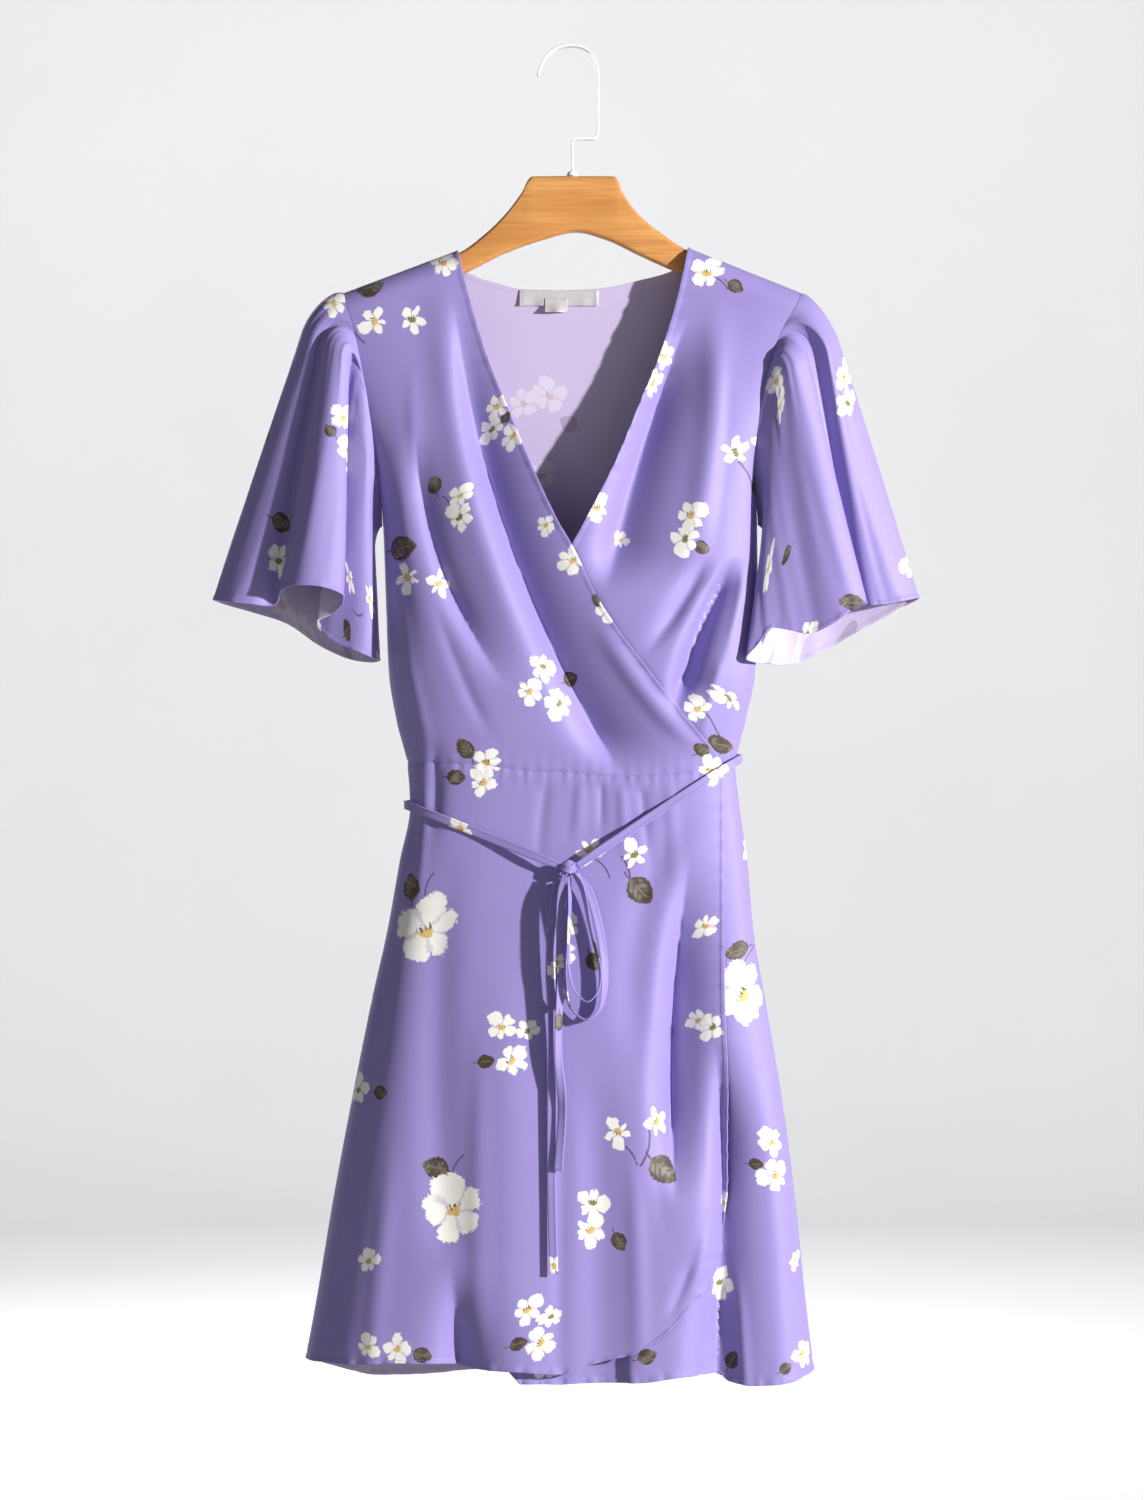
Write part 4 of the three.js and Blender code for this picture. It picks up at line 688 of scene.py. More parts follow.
def sleeve(rows, column):
    """A fluted sleeve from the armhole to its hem, as a tube."""
    outward = -1.0 if column == "minX" else 1.0
    count = len(rows["arm"]) * SLEEVE_STEPS
    at = np.arange(count) / SLEEVE_STEPS
    v = spaced(235, "seam", "free", 96)[0][:, None]
    arm = np.clip(around(rows, "arm", at), 0, 2)
    arm = np.where(arm > 1.999, 0, arm)
    fraction = np.where(arm <= 1, arm, 2 - arm)
    z = lerp(SHOULDER[column]["tip"][1], UNDERARM_Z, fraction)
    x = body(column, z)
    inside = x - outward * 0.01
    y = np.where(arm <= 1, -depth("front", [], inside, z), depth("back", [], inside, z))
    y = np.where(fraction < 0.004, 0, y)
    near_pit = smooth(0.8, 1, 1 - np.abs(arm - 1))
    start = np.stack([x + outward * lerp(0.4, 0.9, near_pit), y, z], axis=1)
    cap = np.stack([around(rows, c, at) for c in ("capX", "capY", "capZ")], axis=1)
    hem = np.stack([around(rows, c, at) for c in ("hemX", "hemY", "hemZ")], axis=1)
    down = ((v - CAP_AT) / (1 - CAP_AT))[:, :, None]
    line = cap + (hem - cap) * down
    m = np.where(v < CAP_AT, 1 - (1 - np.minimum(v / CAP_AT, 1)) ** 2, 1)[:, :, None]
    base = start + (line - start) * m
    facing = np.stack([outward * np.ones(count), np.where(arm <= 1, -1.0, 1.0), 0 * arm], axis=1)
    way = normals(base, True, facing)
    gather = 0.5 * ripple(at, 1.7, 21) * smooth(0, 0.05, v) * (1 - smooth(0.08, 0.4, v)) * (1 - near_pit)
    fine = 0.5 * ripple(at + 1.5 * v, 2.6, 29) * smooth(0.15, 0.9, v)
    free = (1 - v) * 235
    wavy = 0.4 * ripple(at, 0.9, 31) * np.exp(-free / 5)
    base = base + way * (gather + fine + wavy)[:, :, None]
    thick = np.where(free <= HEM_STITCH + 0.01, HEM_SHELL, SHELL) + 0 * at
    return {"points": base, "normals": normals(base, True, facing), "thick": thick, "tube": True}


def fabric_places(grid):
    """Places measured over the cloth itself: along each row, and down."""
    points = grid["points"]
    if grid["tube"]:
        points = np.concatenate([points, points[:, :1]], axis=1)
        along = np.linalg.norm(np.diff(points, axis=1), axis=2)
        down = np.linalg.norm(np.diff(points, axis=0), axis=2)
        t = -np.vstack([np.zeros(points.shape[1]), np.cumsum(down, axis=0)])
        s = np.hstack([np.zeros((len(points), 1)), np.cumsum(along, axis=1)])
        return s, t
    along = np.hypot(np.diff(points[:, :, 0], axis=1), np.diff(points[:, :, 1], axis=1))
    s = points[:, :1, 0] + np.hstack([np.zeros((len(points), 1)), np.cumsum(along, axis=1)])
    return s, points[:, :, 2]


def spot(grid, s, t, row, front):
    """A motif of the chart, set on the cloth: its place there, its size and its turn."""
    kind, x, z, size, turn = row
    points, way = grid["points"], grid["normals"]
    away = np.hypot(points[:, :, 0] - x, points[:, :, 2] - z)
    away = away + np.where(way[:, :, 1] * (-1 if front else 1) > -0.2, 0, 400)
    if grid["tube"]:
        away = away + np.clip((points[:, :, 1] - points[:, :, 1].min()) * (0.02 if front else -0.02), -1, 1)
    j, i = np.unravel_index(np.argmin(away), away.shape)
    if away[j, i] > 2.2 * size + 6:
        return None
    mirror = 1.0 if front else -1.0
    off_s, off_t = (x - points[j, i, 0]), (z - points[j, i, 2])
    if grid["tube"]:
        off_s, off_t = 0.0, 0.0
    return kind, s[j, i] + off_s, t[j, i] + off_t, size, math.radians(turn), mirror


MOTIF_SEEDS = {"bloom": 0.0, "bud": 1.0, "large": 2.0}
LAYERS_OF_PRINT = (("flower_a", ("bloom", "bud", "large"), 0), ("flower_b", ("bloom", "bud", "large"), 1),
                   ("leaf_a", ("leaf",), 0), ("stem_a", ("stem",), 0))


def print_on(mesh, corners_s, corners_t, motifs):
    """Stores, at each face corner, where it lies in the closest motifs' own frames."""
    centre_s, centre_t = corners_s.mean(axis=1), corners_t.mean(axis=1)
    for name, kinds, rank in LAYERS_OF_PRINT:
        chosen = [m for m in motifs if m[0] in kinds]
        data = np.full((len(corners_s), 4, 3), 9.0)
        if len(chosen) > rank:
            s, t, size, turn, mirror = np.array([m[1:6] for m in chosen]).T
            seeds = np.array([(0.37 * k) % 0.98 + MOTIF_SEEDS.get(m[0], 0.0) for k, m in enumerate(chosen)])
            away = np.hypot(centre_s[:, None] - s, centre_t[:, None] - t) / size
            near = np.argsort(away, axis=1)[:, rank]
            ds = (corners_s - s[near][:, None]) * mirror[near][:, None] / size[near][:, None]
            dt = (corners_t - t[near][:, None]) / size[near][:, None]
            c, n = np.cos(turn[near])[:, None], np.sin(turn[near])[:, None]
            data = np.stack([ds * c + dt * n, dt * c - ds * n, seeds[near][:, None] + 0 * ds], axis=2)
        layer = mesh.attributes.new(name, "FLOAT_VECTOR", "CORNER")
        layer.data.foreach_set("vector", data.astype(np.float32).ravel())


def new_object(name, verts, faces, materials, face_materials=None):
    mesh = bpy.data.meshes.new(name)
    mesh.from_pydata([tuple(v) for v in np.asarray(verts, float) * MM], [], [tuple(f) for f in faces])
    for material in materials:
        mesh.materials.append(material)
    if face_materials is not None:
        mesh.polygons.foreach_set("material_index", np.asarray(face_materials, np.int32))
    mesh.polygons.foreach_set("use_smooth", np.ones(len(mesh.polygons), bool))
    mesh.update()
    obj = bpy.data.objects.new(name, mesh)
    bpy.context.scene.collection.objects.link(obj)
    return obj


def border_loops(rows, count, tube):
    """The borders of a grid, each a closed list of (row, column) with the step inward."""
    if tube:
        top = [(0, i, 1, 0) for i in range(count)]
        bottom = [(rows - 1, i, -1, 0) for i in reversed(range(count))]
        return [top, bottom]
    loop = [(0, i, 1, 0) for i in range(count - 1)]
    loop += [(j, count - 1, 0, -1) for j in range(rows - 1)]
    loop += [(rows - 1, i, -1, 0) for i in reversed(range(1, count))]
    loop += [(j, 0, 0, 1) for j in reversed(range(1, rows))]
    return [loop]


def cloth_piece(name, grid, motifs, inner_motifs, materials):
    """A thin closed shell round a grid of places, with the print on both of its faces."""
    points, way, thick, tube = grid["points"], grid["normals"], grid["thick"], grid["tube"]
    rows, count = points.shape[:2]
    half = (np.broadcast_to(thick, (rows, count)) / 2)[:, :, None]
    outer = (points + way * half).reshape(-1, 3)
    inner = (points - way * half).reshape(-1, 3)
    s, t = fabric_places(grid)
    columns = count if tube else count - 1
    j, i = [a.ravel() for a in np.meshgrid(np.arange(rows - 1), np.arange(columns), indexing="ij")]
    corner_j = np.stack([j, j, j + 1, j + 1], axis=1)
    corner_i = np.stack([i, i + 1, i + 1, i], axis=1)
    ids = corner_j * count + corner_i % count
    a, b, d = points.reshape(-1, 3)[ids[:, 0]], points.reshape(-1, 3)[ids[:, 1]], points.reshape(-1, 3)[ids[:, 3]]
    same = (np.cross(b - a, d - a) * way.reshape(-1, 3)[ids[:, 0]]).sum() > 0
    flip = (lambda q: q) if same else (lambda q: q[:, ::-1])
    back = (lambda q: q[:, ::-1]) if same else (lambda q: q)
    sheet = rows * count
    faces = [flip(ids), back(ids + sheet)]
    corner_s = [flip(s[corner_j, corner_i]), back(s[corner_j, corner_i])]
    corner_t = [flip(t[corner_j, corner_i]), back(t[corner_j, corner_i])]
    rims = []
    made = 2 * sheet
    for loop in border_loops(rows, count, tube):
        at = np.array(loop)
        here = points[at[:, 0], at[:, 1]]
        inward = points[at[:, 0] + at[:, 2], at[:, 1] + at[:, 3]] - here
        inward /= np.maximum(np.linalg.norm(inward, axis=1, keepdims=True), 1e-9)
        rims.append(here - inward * 0.3 * half[at[:, 0], at[:, 1]])
        k = np.arange(len(loop))
        nxt = (k + 1) % len(loop)
        edge = at[:, 0] * count + at[:, 1]
        upper = np.stack([edge[nxt], edge, made + k, made + nxt], axis=1)
        lower = np.stack([made + nxt, made + k, sheet + edge, sheet + edge[nxt]], axis=1)
        edge_s, edge_t = s[at[:, 0], at[:, 1]], t[at[:, 0], at[:, 1]]
        ring_s = np.stack([edge_s[nxt], edge_s, edge_s, edge_s[nxt]], axis=1)
        ring_t = np.stack([edge_t[nxt], edge_t, edge_t, edge_t[nxt]], axis=1)
        if tube:
            ring_s[np.abs(edge_s[nxt] - edge_s) > 50] = 1e4
        faces += [flip(upper), flip(lower)]
        corner_s += [flip(ring_s), flip(ring_s)]
        corner_t += [flip(ring_t), flip(ring_t)]
        made += len(loop)
    quads = np.vstack(faces)
    inside = np.zeros(len(quads), np.int32)
    inside[len(ids):2 * len(ids)] = 1
    obj = new_object(name, np.vstack([outer, inner, *rims]), quads, materials, inside)
    if inner_motifs is None:
        inner_motifs = motifs
    placed = [m for m in (spot(grid, s, t, row, front) for row, front in motifs) if m]
    inner_placed = [m for m in (spot(grid, s, t, row, front) for row, front in inner_motifs) if m]
    all_s, all_t = np.vstack(corner_s), np.vstack(corner_t)
    print_on(obj.data, all_s, all_t, placed + inner_placed if inner_motifs is not motifs else placed)
    return obj


# Colours as they look in even light, 0 to 255.
def paint(red, green, blue):
    """An sRGB colour as the shader takes it."""
    def linear(c):
        c /= 255
        return c / 12.92 if c <= 0.04045 else ((c + 0.055) / 1.055) ** 2.4
    return (linear(red), linear(green), linear(blue), 1.0)


PURPLE = paint(149, 136, 196)
PURPLE_DEEP = paint(141, 127, 190)
WRONG_SIDE = paint(194, 182, 216)
WRONG_SIDE_DEEP = paint(190, 177, 212)
PETAL = paint(238, 237, 235)
PETAL_CREAM = paint(236, 231, 208)
PETAL_SHADE = paint(196, 190, 204)
OCHRE = paint(200, 148, 58)
OCHRE_PALE = paint(224, 196, 128)
OLIVE = paint(128, 122, 66)
DOT = paint(66, 48, 34)
LEAF = paint(64, 53, 41)
LEAF_LIGHT = paint(76, 65, 48)
LEAF_VEIN = paint(170, 160, 150)
STEM = paint(84, 66, 98)
THREAD = paint(168, 152, 218)


class Shader:
    """Builds one node tree with short calls."""

    def __init__(self, tree):
        self.tree = tree

    def node(self, kind, **values):
        made = self.tree.nodes.new(kind)
        for key, value in values.items():
            setattr(made, key, value)
        return made

    def put(self, socket, value):
        if isinstance(value, bpy.types.NodeSocket):
            self.tree.links.new(value, socket)
        else:
            socket.default_value = value

    def math(self, operation, *values, clamp=False):
        made = self.node("ShaderNodeMath", operation=operation, use_clamp=clamp)
        for socket, value in zip(made.inputs, values):
            self.put(socket, value)
        return made.outputs[0]

    def add(self, *values):
        total = values[0]
        for value in values[1:]:
            total = self.math("ADD", total, value)
        return total

    def times(self, *values):
        total = values[0]
        for value in values[1:]:
            total = self.math("MULTIPLY", total, value)
        return total

    def wave(self, at, turns, seed, by, height):
        """height * sin(turns * at + by * seed)"""
        angle = self.math("MULTIPLY_ADD", at, turns, self.times(seed, by))
        return self.times(self.math("SINE", angle), height)

    def inside(self, limit, value, sharp):
        """1 where value is below limit, with a soft edge."""
        gap = self.math("SUBTRACT", limit, value)
        return self.math("MULTIPLY_ADD", gap, sharp, 0.5, clamp=True)

    def mix(self, factor, a, b):
        made = self.node("ShaderNodeMix", data_type="RGBA")
        self.put(made.inputs[0], factor)
        self.put(made.inputs[6], a)
        self.put(made.inputs[7], b)
        return made.outputs[2]

    def own_frame(self, name):
        attribute = self.node("ShaderNodeAttribute", attribute_name=name)
        split = self.node("ShaderNodeSeparateXYZ")
        self.put(split.inputs[0], attribute.outputs["Vector"])
        return split.outputs[0], split.outputs[1], split.outputs[2]

    def noise(self, scale, detail, stretch=(1, 1, 1)):
        place = self.node("ShaderNodeTexCoord")
        mapping = self.node("ShaderNodeMapping")
        mapping.inputs["Scale"].default_value = stretch
        self.put(mapping.inputs["Vector"], place.outputs["Object"])
        made = self.node("ShaderNodeTexNoise")
        made.inputs["Scale"].default_value = scale
        made.inputs["Detail"].default_value = detail
        self.put(made.inputs["Vector"], mapping.outputs[0])
        return made.outputs[0]

    def bump(self, height, strength, distance):
        made = self.node("ShaderNodeBump")
        made.inputs["Strength"].default_value = strength
        made.inputs["Distance"].default_value = distance
        self.put(made.inputs["Height"], height)
        return made.outputs[0]


def flower(sh, under, name, ragged):
    """An open flower with uneven ragged petals, or a bud with pointed ones, over a colour."""
    u, v, code = sh.own_frame(name)
    large = sh.math("GREATER_THAN", code, 1.99)
    bud = sh.math("SUBTRACT", sh.math("GREATER_THAN", code, 0.99), large)
    seed = sh.math("SUBTRACT", sh.math("SUBTRACT", code, bud), sh.times(large, 2.0))
    u = sh.add(u, sh.times(ragged[0], 0.3))
    v = sh.add(v, sh.times(ragged[1], 0.3))
    radius = sh.math("SQRT", sh.add(sh.times(u, u), sh.times(v, v)))
    angle = sh.math("ARCTAN2", v, u)
    bent = sh.add(angle, sh.wave(angle, 1.0, seed, 53.0, 0.22), sh.wave(angle, 2.0, seed, 31.0, 0.12))
    lobes = sh.math("ABSOLUTE", sh.math("COSINE", sh.math("MULTIPLY_ADD", bent, 2.5, sh.times(seed, 6.0))))
    pointed = sh.add(sh.math("MULTIPLY_ADD", bud, 0.55, 0.4), sh.times(large, -0.12))
    petal = sh.math("POWER", lobes, pointed)
    uneven = sh.add(sh.wave(angle, 1.0, seed, 17.0, 0.1), sh.wave(angle, 2.0, seed, 29.0, 0.09),
                    sh.wave(angle, 3.0, seed, 37.0, 0.07), sh.wave(angle, 9.0, seed, 41.0, 0.03))
    base = sh.add(sh.math("MULTIPLY_ADD", bud, -0.1, 0.34), sh.times(large, 0.1))
    reach = sh.add(sh.math("MULTIPLY_ADD", petal, 0.56, base), uneven, sh.times(ragged[2], 0.3))
    mask = sh.inside(reach, radius, 18.0)
    line = sh.times(sh.inside(0.3, lobes, 4.0), sh.inside(0.7, radius, 5.0))
    shade = sh.math("MULTIPLY_ADD", ragged[3], 1.6, 0.25, clamp=True)
    colour = sh.mix(sh.times(shade, sh.inside(radius, 0.25, 1.6)), PETAL, PETAL_CREAM)
    colour = sh.mix(sh.times(line, 0.7), colour, PETAL_SHADE)
    off_v = sh.math("MULTIPLY_ADD", v, 1.5, 0.06)
    heart = sh.math("SQRT", sh.add(sh.times(u, u), sh.times(off_v, off_v)))
    olive = sh.math("GREATER_THAN", sh.math("FRACT", sh.times(seed, 7.0)), 0.6)
    middle = sh.mix(sh.math("MULTIPLY_ADD", ragged[3], 2.0, 0.5, clamp=True), OCHRE, OCHRE_PALE)
    middle = sh.mix(olive, middle, OLIVE)
    below = sh.inside(0.09, v, 14.0)
    colour = sh.mix(sh.times(sh.inside(0.25, heart, 12.0), below), colour, middle)
    speckle = sh.add(sh.wave(u, 41.0, seed, 9.0, 1.0), sh.times(ragged[0], 4.0))
    row = sh.inside(0.075, sh.math("ABSOLUTE", sh.math("SUBTRACT", v, 0.1)), 16.0)
    dots = sh.times(sh.inside(speckle, 0.35, 4.0), row, sh.inside(0.27, sh.math("ABSOLUTE", u), 14.0))
    colour = sh.mix(sh.times(dots, 0.92), colour, DOT)
    return sh.mix(mask, under, colour)


def leaf(sh, under, name, ragged):
    """A pointed leaf with an uneven edge, pale brush strokes and a short stalk, over a colour."""
    u, v, seed = sh.own_frame(name)
    v = sh.add(v, sh.times(ragged[1], 0.2))
    across = sh.math("ABSOLUTE", v)
    full = sh.math("MAXIMUM", sh.math("SUBTRACT", 1.0, sh.times(u, u)), 0.0)
    skew = sh.times(u, -0.16)
    width = sh.math("MULTIPLY_ADD", sh.math("POWER", full, 0.72), sh.add(0.78, skew), -0.02)
    edged = sh.add(width, sh.wave(u, 22.0, seed, 5.0, 0.025), sh.times(ragged[2], 0.2))
    mask = sh.times(sh.inside(edged, across, 14.0), sh.math("GREATER_THAN", full, 0.0))
    rib = sh.times(sh.inside(0.035, across, 30.0), sh.inside(0.55, sh.math("ABSOLUTE", u), 8.0))
    swept = sh.add(u, sh.times(across, -0.9))
    veins = sh.times(sh.inside(sh.wave(swept, 15.0, seed, 3.0, 1.0), -0.8, 5.0), sh.inside(0.5, across, 8.0))
    strokes = sh.times(veins, sh.math("MULTIPLY_ADD", ragged[3], 5.0, 0.3, clamp=True))
    colour = sh.mix(sh.math("MULTIPLY_ADD", ragged[0], 3.0, 0.5, clamp=True), LEAF, LEAF_LIGHT)
    colour = sh.mix(sh.times(sh.math("MAXIMUM", rib, strokes), 0.45), colour, LEAF_VEIN)
    stalk_bend = sh.times(sh.math("ADD", u, 1.0), sh.math("ADD", u, 1.0))
    stalk_off = sh.math("ABSOLUTE", sh.math("MULTIPLY_ADD", stalk_bend, -0.35, v))
    stalk = sh.times(sh.inside(0.05, stalk_off, 20.0), sh.inside(1.55, sh.math("ABSOLUTE", u), 20.0),
                     sh.inside(-0.9, u, 20.0))
    return sh.mix(mask, sh.mix(stalk, under, STEM), colour)


def stem(sh, under, name):
    """A thin curved stem over a colour."""
    u, v, seed = sh.own_frame(name)
    bend = sh.times(sh.math("SUBTRACT", 1.0, sh.times(u, u)), 0.22)
    off = sh.math("ABSOLUTE", sh.math("SUBTRACT", v, bend))
    mask = sh.times(sh.inside(0.06, off, 18.0), sh.inside(1.0, sh.math("ABSOLUTE", u), 20.0))
    return sh.mix(sh.times(mask, 0.9), under, STEM)


def printed(sh, base):
    """The print over a ground colour, with the small unevenness of a brush."""
    ragged = [sh.math("SUBTRACT", sh.noise(scale, 4.0), 0.5) for scale in (210.0, 260.0, 620.0, 90.0)]
    out = stem(sh, base, "stem_a")
    out = leaf(sh, out, "leaf_a", ragged)
    out = flower(sh, out, "flower_b", ragged)
    return flower(sh, out, "flower_a", ragged)


def new_material(name, roughness, specular):
    """A material with its shader, for the caller to add nodes to."""
    material = bpy.data.materials.new(name)
    material.use_nodes = True
    sh = Shader(material.node_tree)
    shader = material.node_tree.nodes["Principled BSDF"]
    shader.inputs["Roughness"].default_value = roughness
    shader.inputs["Specular IOR Level"].default_value = specular
    return material, sh, shader


def crepe(name, light, deep, print_share):
    """Smooth crepe: a fine uneven grain, a soft lustre and the printed flowers."""
    material, sh, shader = new_material(name, 0.55, 0.35)
    shader.inputs["Sheen Weight"].default_value = 0.25
    shader.inputs["Sheen Roughness"].default_value = 0.45
    shader.inputs["Sheen Tint"].default_value = paint(228, 222, 248)
    ground = sh.mix(sh.noise(9.0, 3.0), light, deep)
    colour = printed(sh, ground)
    if print_share < 1:
        colour = sh.mix(print_share, ground, colour)
    sh.put(shader.inputs["Base Color"], colour)
    grain = sh.add(sh.noise(1500.0, 2.0, (1, 1, 0.45)), sh.times(sh.noise(420.0, 3.0), 0.6))
    sh.put(shader.inputs["Normal"], sh.bump(grain, 0.22, 0.0003))
    return material


def wood():
    """Varnished wood with its grain along the hanger."""
    material, sh, shader = new_material("orange_wood", 0.42, 0.4)
    shader.inputs["Coat Weight"].default_value = 0.25
    shader.inputs["Coat Roughness"].default_value = 0.3
    bands = sh.noise(55.0, 6.0, (0.12, 1, 1))
    fibres = sh.noise(600.0, 4.0, (0.03, 1, 1))
    colour = sh.mix(sh.math("MULTIPLY_ADD", bands, 2.6, -0.8, clamp=True), paint(226, 168, 98), paint(190, 122, 62))
    colour = sh.mix(sh.math("MULTIPLY_ADD", fibres, 2.2, -0.85, clamp=True), colour, paint(166, 102, 52))
    colour = sh.mix(0.3, colour, paint(224, 162, 92))
    sh.put(shader.inputs["Base Color"], colour)
    sh.put(shader.inputs["Normal"], sh.bump(fibres, 0.12, 0.0003))
    return material


def white_metal():
    """White-coated metal, a little uneven, and greyer where it is rubbed."""
    material, sh, shader = new_material("white_metal", 0.32, 0.5)
    worn = sh.math("MULTIPLY_ADD", sh.noise(180.0, 5.0), 3.0, -1.6, clamp=True)
    sh.put(shader.inputs["Base Color"], sh.mix(worn, paint(243, 243, 241), paint(214, 214, 212)))
    sh.put(shader.inputs["Normal"], sh.bump(sh.noise(240.0, 2.0), 0.06, 0.0003))
    return material


def satin():
    """Silver-grey woven satin with fine cross ribs."""
    material, sh, shader = new_material("label_satin", 0.38, 0.5)
    shader.inputs["Anisotropic"].default_value = 0.4
    ribs = sh.noise(900.0, 2.0, (0.15, 1, 2.2))
    sh.put(shader.inputs["Base Color"], sh.mix(ribs, paint(205, 202, 204), paint(176, 172, 176)))
    sh.put(shader.inputs["Normal"], sh.bump(ribs, 0.3, 0.0002))
    return material


def thread():
    """Twisted sewing thread."""
    material, sh, shader = new_material("thread", 0.6, 0.3)
    sh.put(shader.inputs["Base Color"], sh.mix(sh.noise(2500.0, 1.0), THREAD, paint(142, 126, 196)))
    return material


def plain_stage():
    """Plain pale floor, matt, with a barely uneven surface."""
    material, sh, shader = new_material("stage_pale", 0.9, 0.1)
    colour = sh.mix(sh.noise(2.0, 2.0), paint(190, 190, 191), paint(184, 184, 186))
    sh.put(shader.inputs["Base Color"], colour)
    sh.put(shader.inputs["Emission Color"], colour)
    shader.inputs["Emission Strength"].default_value = 0.03
    return material


def resample(line, step):
    """Points at even steps along a line, with the way that it runs at each."""
    length = np.concatenate([[0], np.cumsum(np.linalg.norm(np.diff(line, axis=0), axis=1))])
    at = np.arange(step / 2, length[-1], step)
    points = np.stack([np.interp(at, length, line[:, k]) for k in range(3)], axis=1)
    ahead = np.stack([np.interp(at + 0.3, length, line[:, k]) for k in range(3)], axis=1)
    behind = np.stack([np.interp(at - 0.3, length, line[:, k]) for k in range(3)], axis=1)
    way = ahead - behind
    return points, way / np.maximum(np.linalg.norm(way, axis=1, keepdims=True), 1e-9), at, length


def stitches(name, lines, material):
    """Short rounded stitches along lines on the cloth. A line is its points and their normals."""
    verts, faces = [], []
    ring = [(-0.5, 0.0), (-0.35, 0.42), (0.35, 0.42), (0.5, 0.0)]
    for points, way in lines:
        places, along, at, length = resample(points, STITCH_PITCH)
        up = np.stack([np.interp(at, length, way[:, k]) for k in range(3)], axis=1)
        across = np.cross(along, up)
        for p, a, u, c in zip(places, along, up, across):
            start = len(verts)
            for end, lift in ((-0.5, -0.35), (-0.3, 0.12), (0.3, 0.12), (0.5, -0.35)):
                for w, h in ring:
                    verts.append(p + a * end * STITCH_LENGTH + c * w * STITCH_THICK + u * (h + lift) * STITCH_THICK)
            for k in range(3):
                b = start + 4 * k
                faces += [(b + q, b + q + 1, b + q + 5, b + q + 4) for q in range(3)]
                faces.append((b + 3, b, b + 4, b + 7))
            faces.append((start + 3, start + 2, start + 1, start))
            faces.append((start + 12, start + 13, start + 14, start + 15))
    return new_object(name, verts, faces, [material])


def line_of(grid, row=None, column=None, part=slice(None)):
    """A row or column of a grid, on the outer face of its cloth."""
    pick = (row, part) if row is not None else (part, column)
    thick = np.broadcast_to(grid["thick"], grid["points"].shape[:2])
    points, way = grid["points"][pick], grid["normals"][pick]
    return points + way * (thick[pick] / 2)[:, None], way


def smooth_line(rows, at):
    """A centripetal curve through places, read at fractions of the way along."""
    p = np.array(rows, float)
    p = np.vstack([2 * p[0] - p[1], p, 2 * p[-1] - p[-2]])
    n = len(rows) - 1
    place = np.clip(np.asarray(at, float) * n, 0, n)
    i = np.minimum(place.astype(int), n - 1)
    t = (place - i)[:, None]
    a, b, c, d = [p[i + k] for k in range(4)]
    gap = [np.sqrt(np.linalg.norm(y - x, axis=1, keepdims=True)) for x, y in ((a, b), (b, c), (c, d))]
    start = ((b - a) / gap[0] - (c - a) / (gap[0] + gap[1]) + (c - b) / gap[1]) * gap[1]
    end = ((c - b) / gap[1] - (d - b) / (gap[1] + gap[2]) + (d - c) / gap[2]) * gap[1]
    t2 = t * t
    t3 = t2 * t
    return (2 * t3 - 3 * t2 + 1) * b + (t3 - 2 * t2 + t) * start + (3 * t2 - 2 * t3) * c + (t3 - t2) * end


# The tie's own section, half widths and half thicknesses: flat, with a sewn ridge at one edge.
TIE_SECTION = [
    (-0.5, 0.0), (-0.47, 0.42), (-0.38, 0.62), (-0.3, 0.5), (-0.22, 0.36), (0.0, 0.4), (0.3, 0.42),
    (0.45, 0.36), (0.5, 0.0), (0.45, -0.36), (0.3, -0.42), (0.0, -0.4), (-0.22, -0.36), (-0.3, -0.5),
    (-0.38, -0.62), (-0.47, -0.42),
]


def ribbon(name, line, face, width, motif_at, materials):
    """A flat tie along a line of places, with the way that its flat faces at each."""
    along = np.gradient(line, axis=0)
    along /= np.linalg.norm(along, axis=1, keepdims=True)
    across = np.cross(along, face)
    across /= np.linalg.norm(across, axis=1, keepdims=True)
    out = np.cross(across, along)
    section = np.array(TIE_SECTION)
    n, m = len(line), len(section)
    rings = (line[:, None] + across[:, None] * (section[:, 0] * width[:, None])[:, :, None]
             + out[:, None] * (section[:, 1] * TIE_SHELL)[None, :, None])
    s = np.concatenate([[0], np.cumsum(np.linalg.norm(np.diff(line, axis=0), axis=1))])
    j, i = [a.ravel() for a in np.meshgrid(np.arange(n - 1), np.arange(m), indexing="ij")]
    ids = np.stack([j * m + i, j * m + (i + 1) % m, (j + 1) * m + (i + 1) % m, (j + 1) * m + i], axis=1)
    faces = [tuple(q) for q in ids] + [tuple(range(m))[::-1], tuple(range((n - 1) * m, n * m))]
    obj = new_object(name, rings.reshape(-1, 3), faces, materials)
    obj.data.update()
    corner_s = np.stack([s[j], s[j], s[j + 1], s[j + 1]], axis=1)
    side = section[:, 0] * TIE_WIDTH
    corner_t = np.stack([side[i], side[(i + 1) % m], side[(i + 1) % m], side[i]], axis=1)
    motifs = [(kind, at * s[-1], off, size, math.radians(turn), 1.0) for kind, at, off, size, turn in motif_at]
    print_on_ribbon(obj.data, corner_s, corner_t, motifs, m)
    return obj, s[-1]


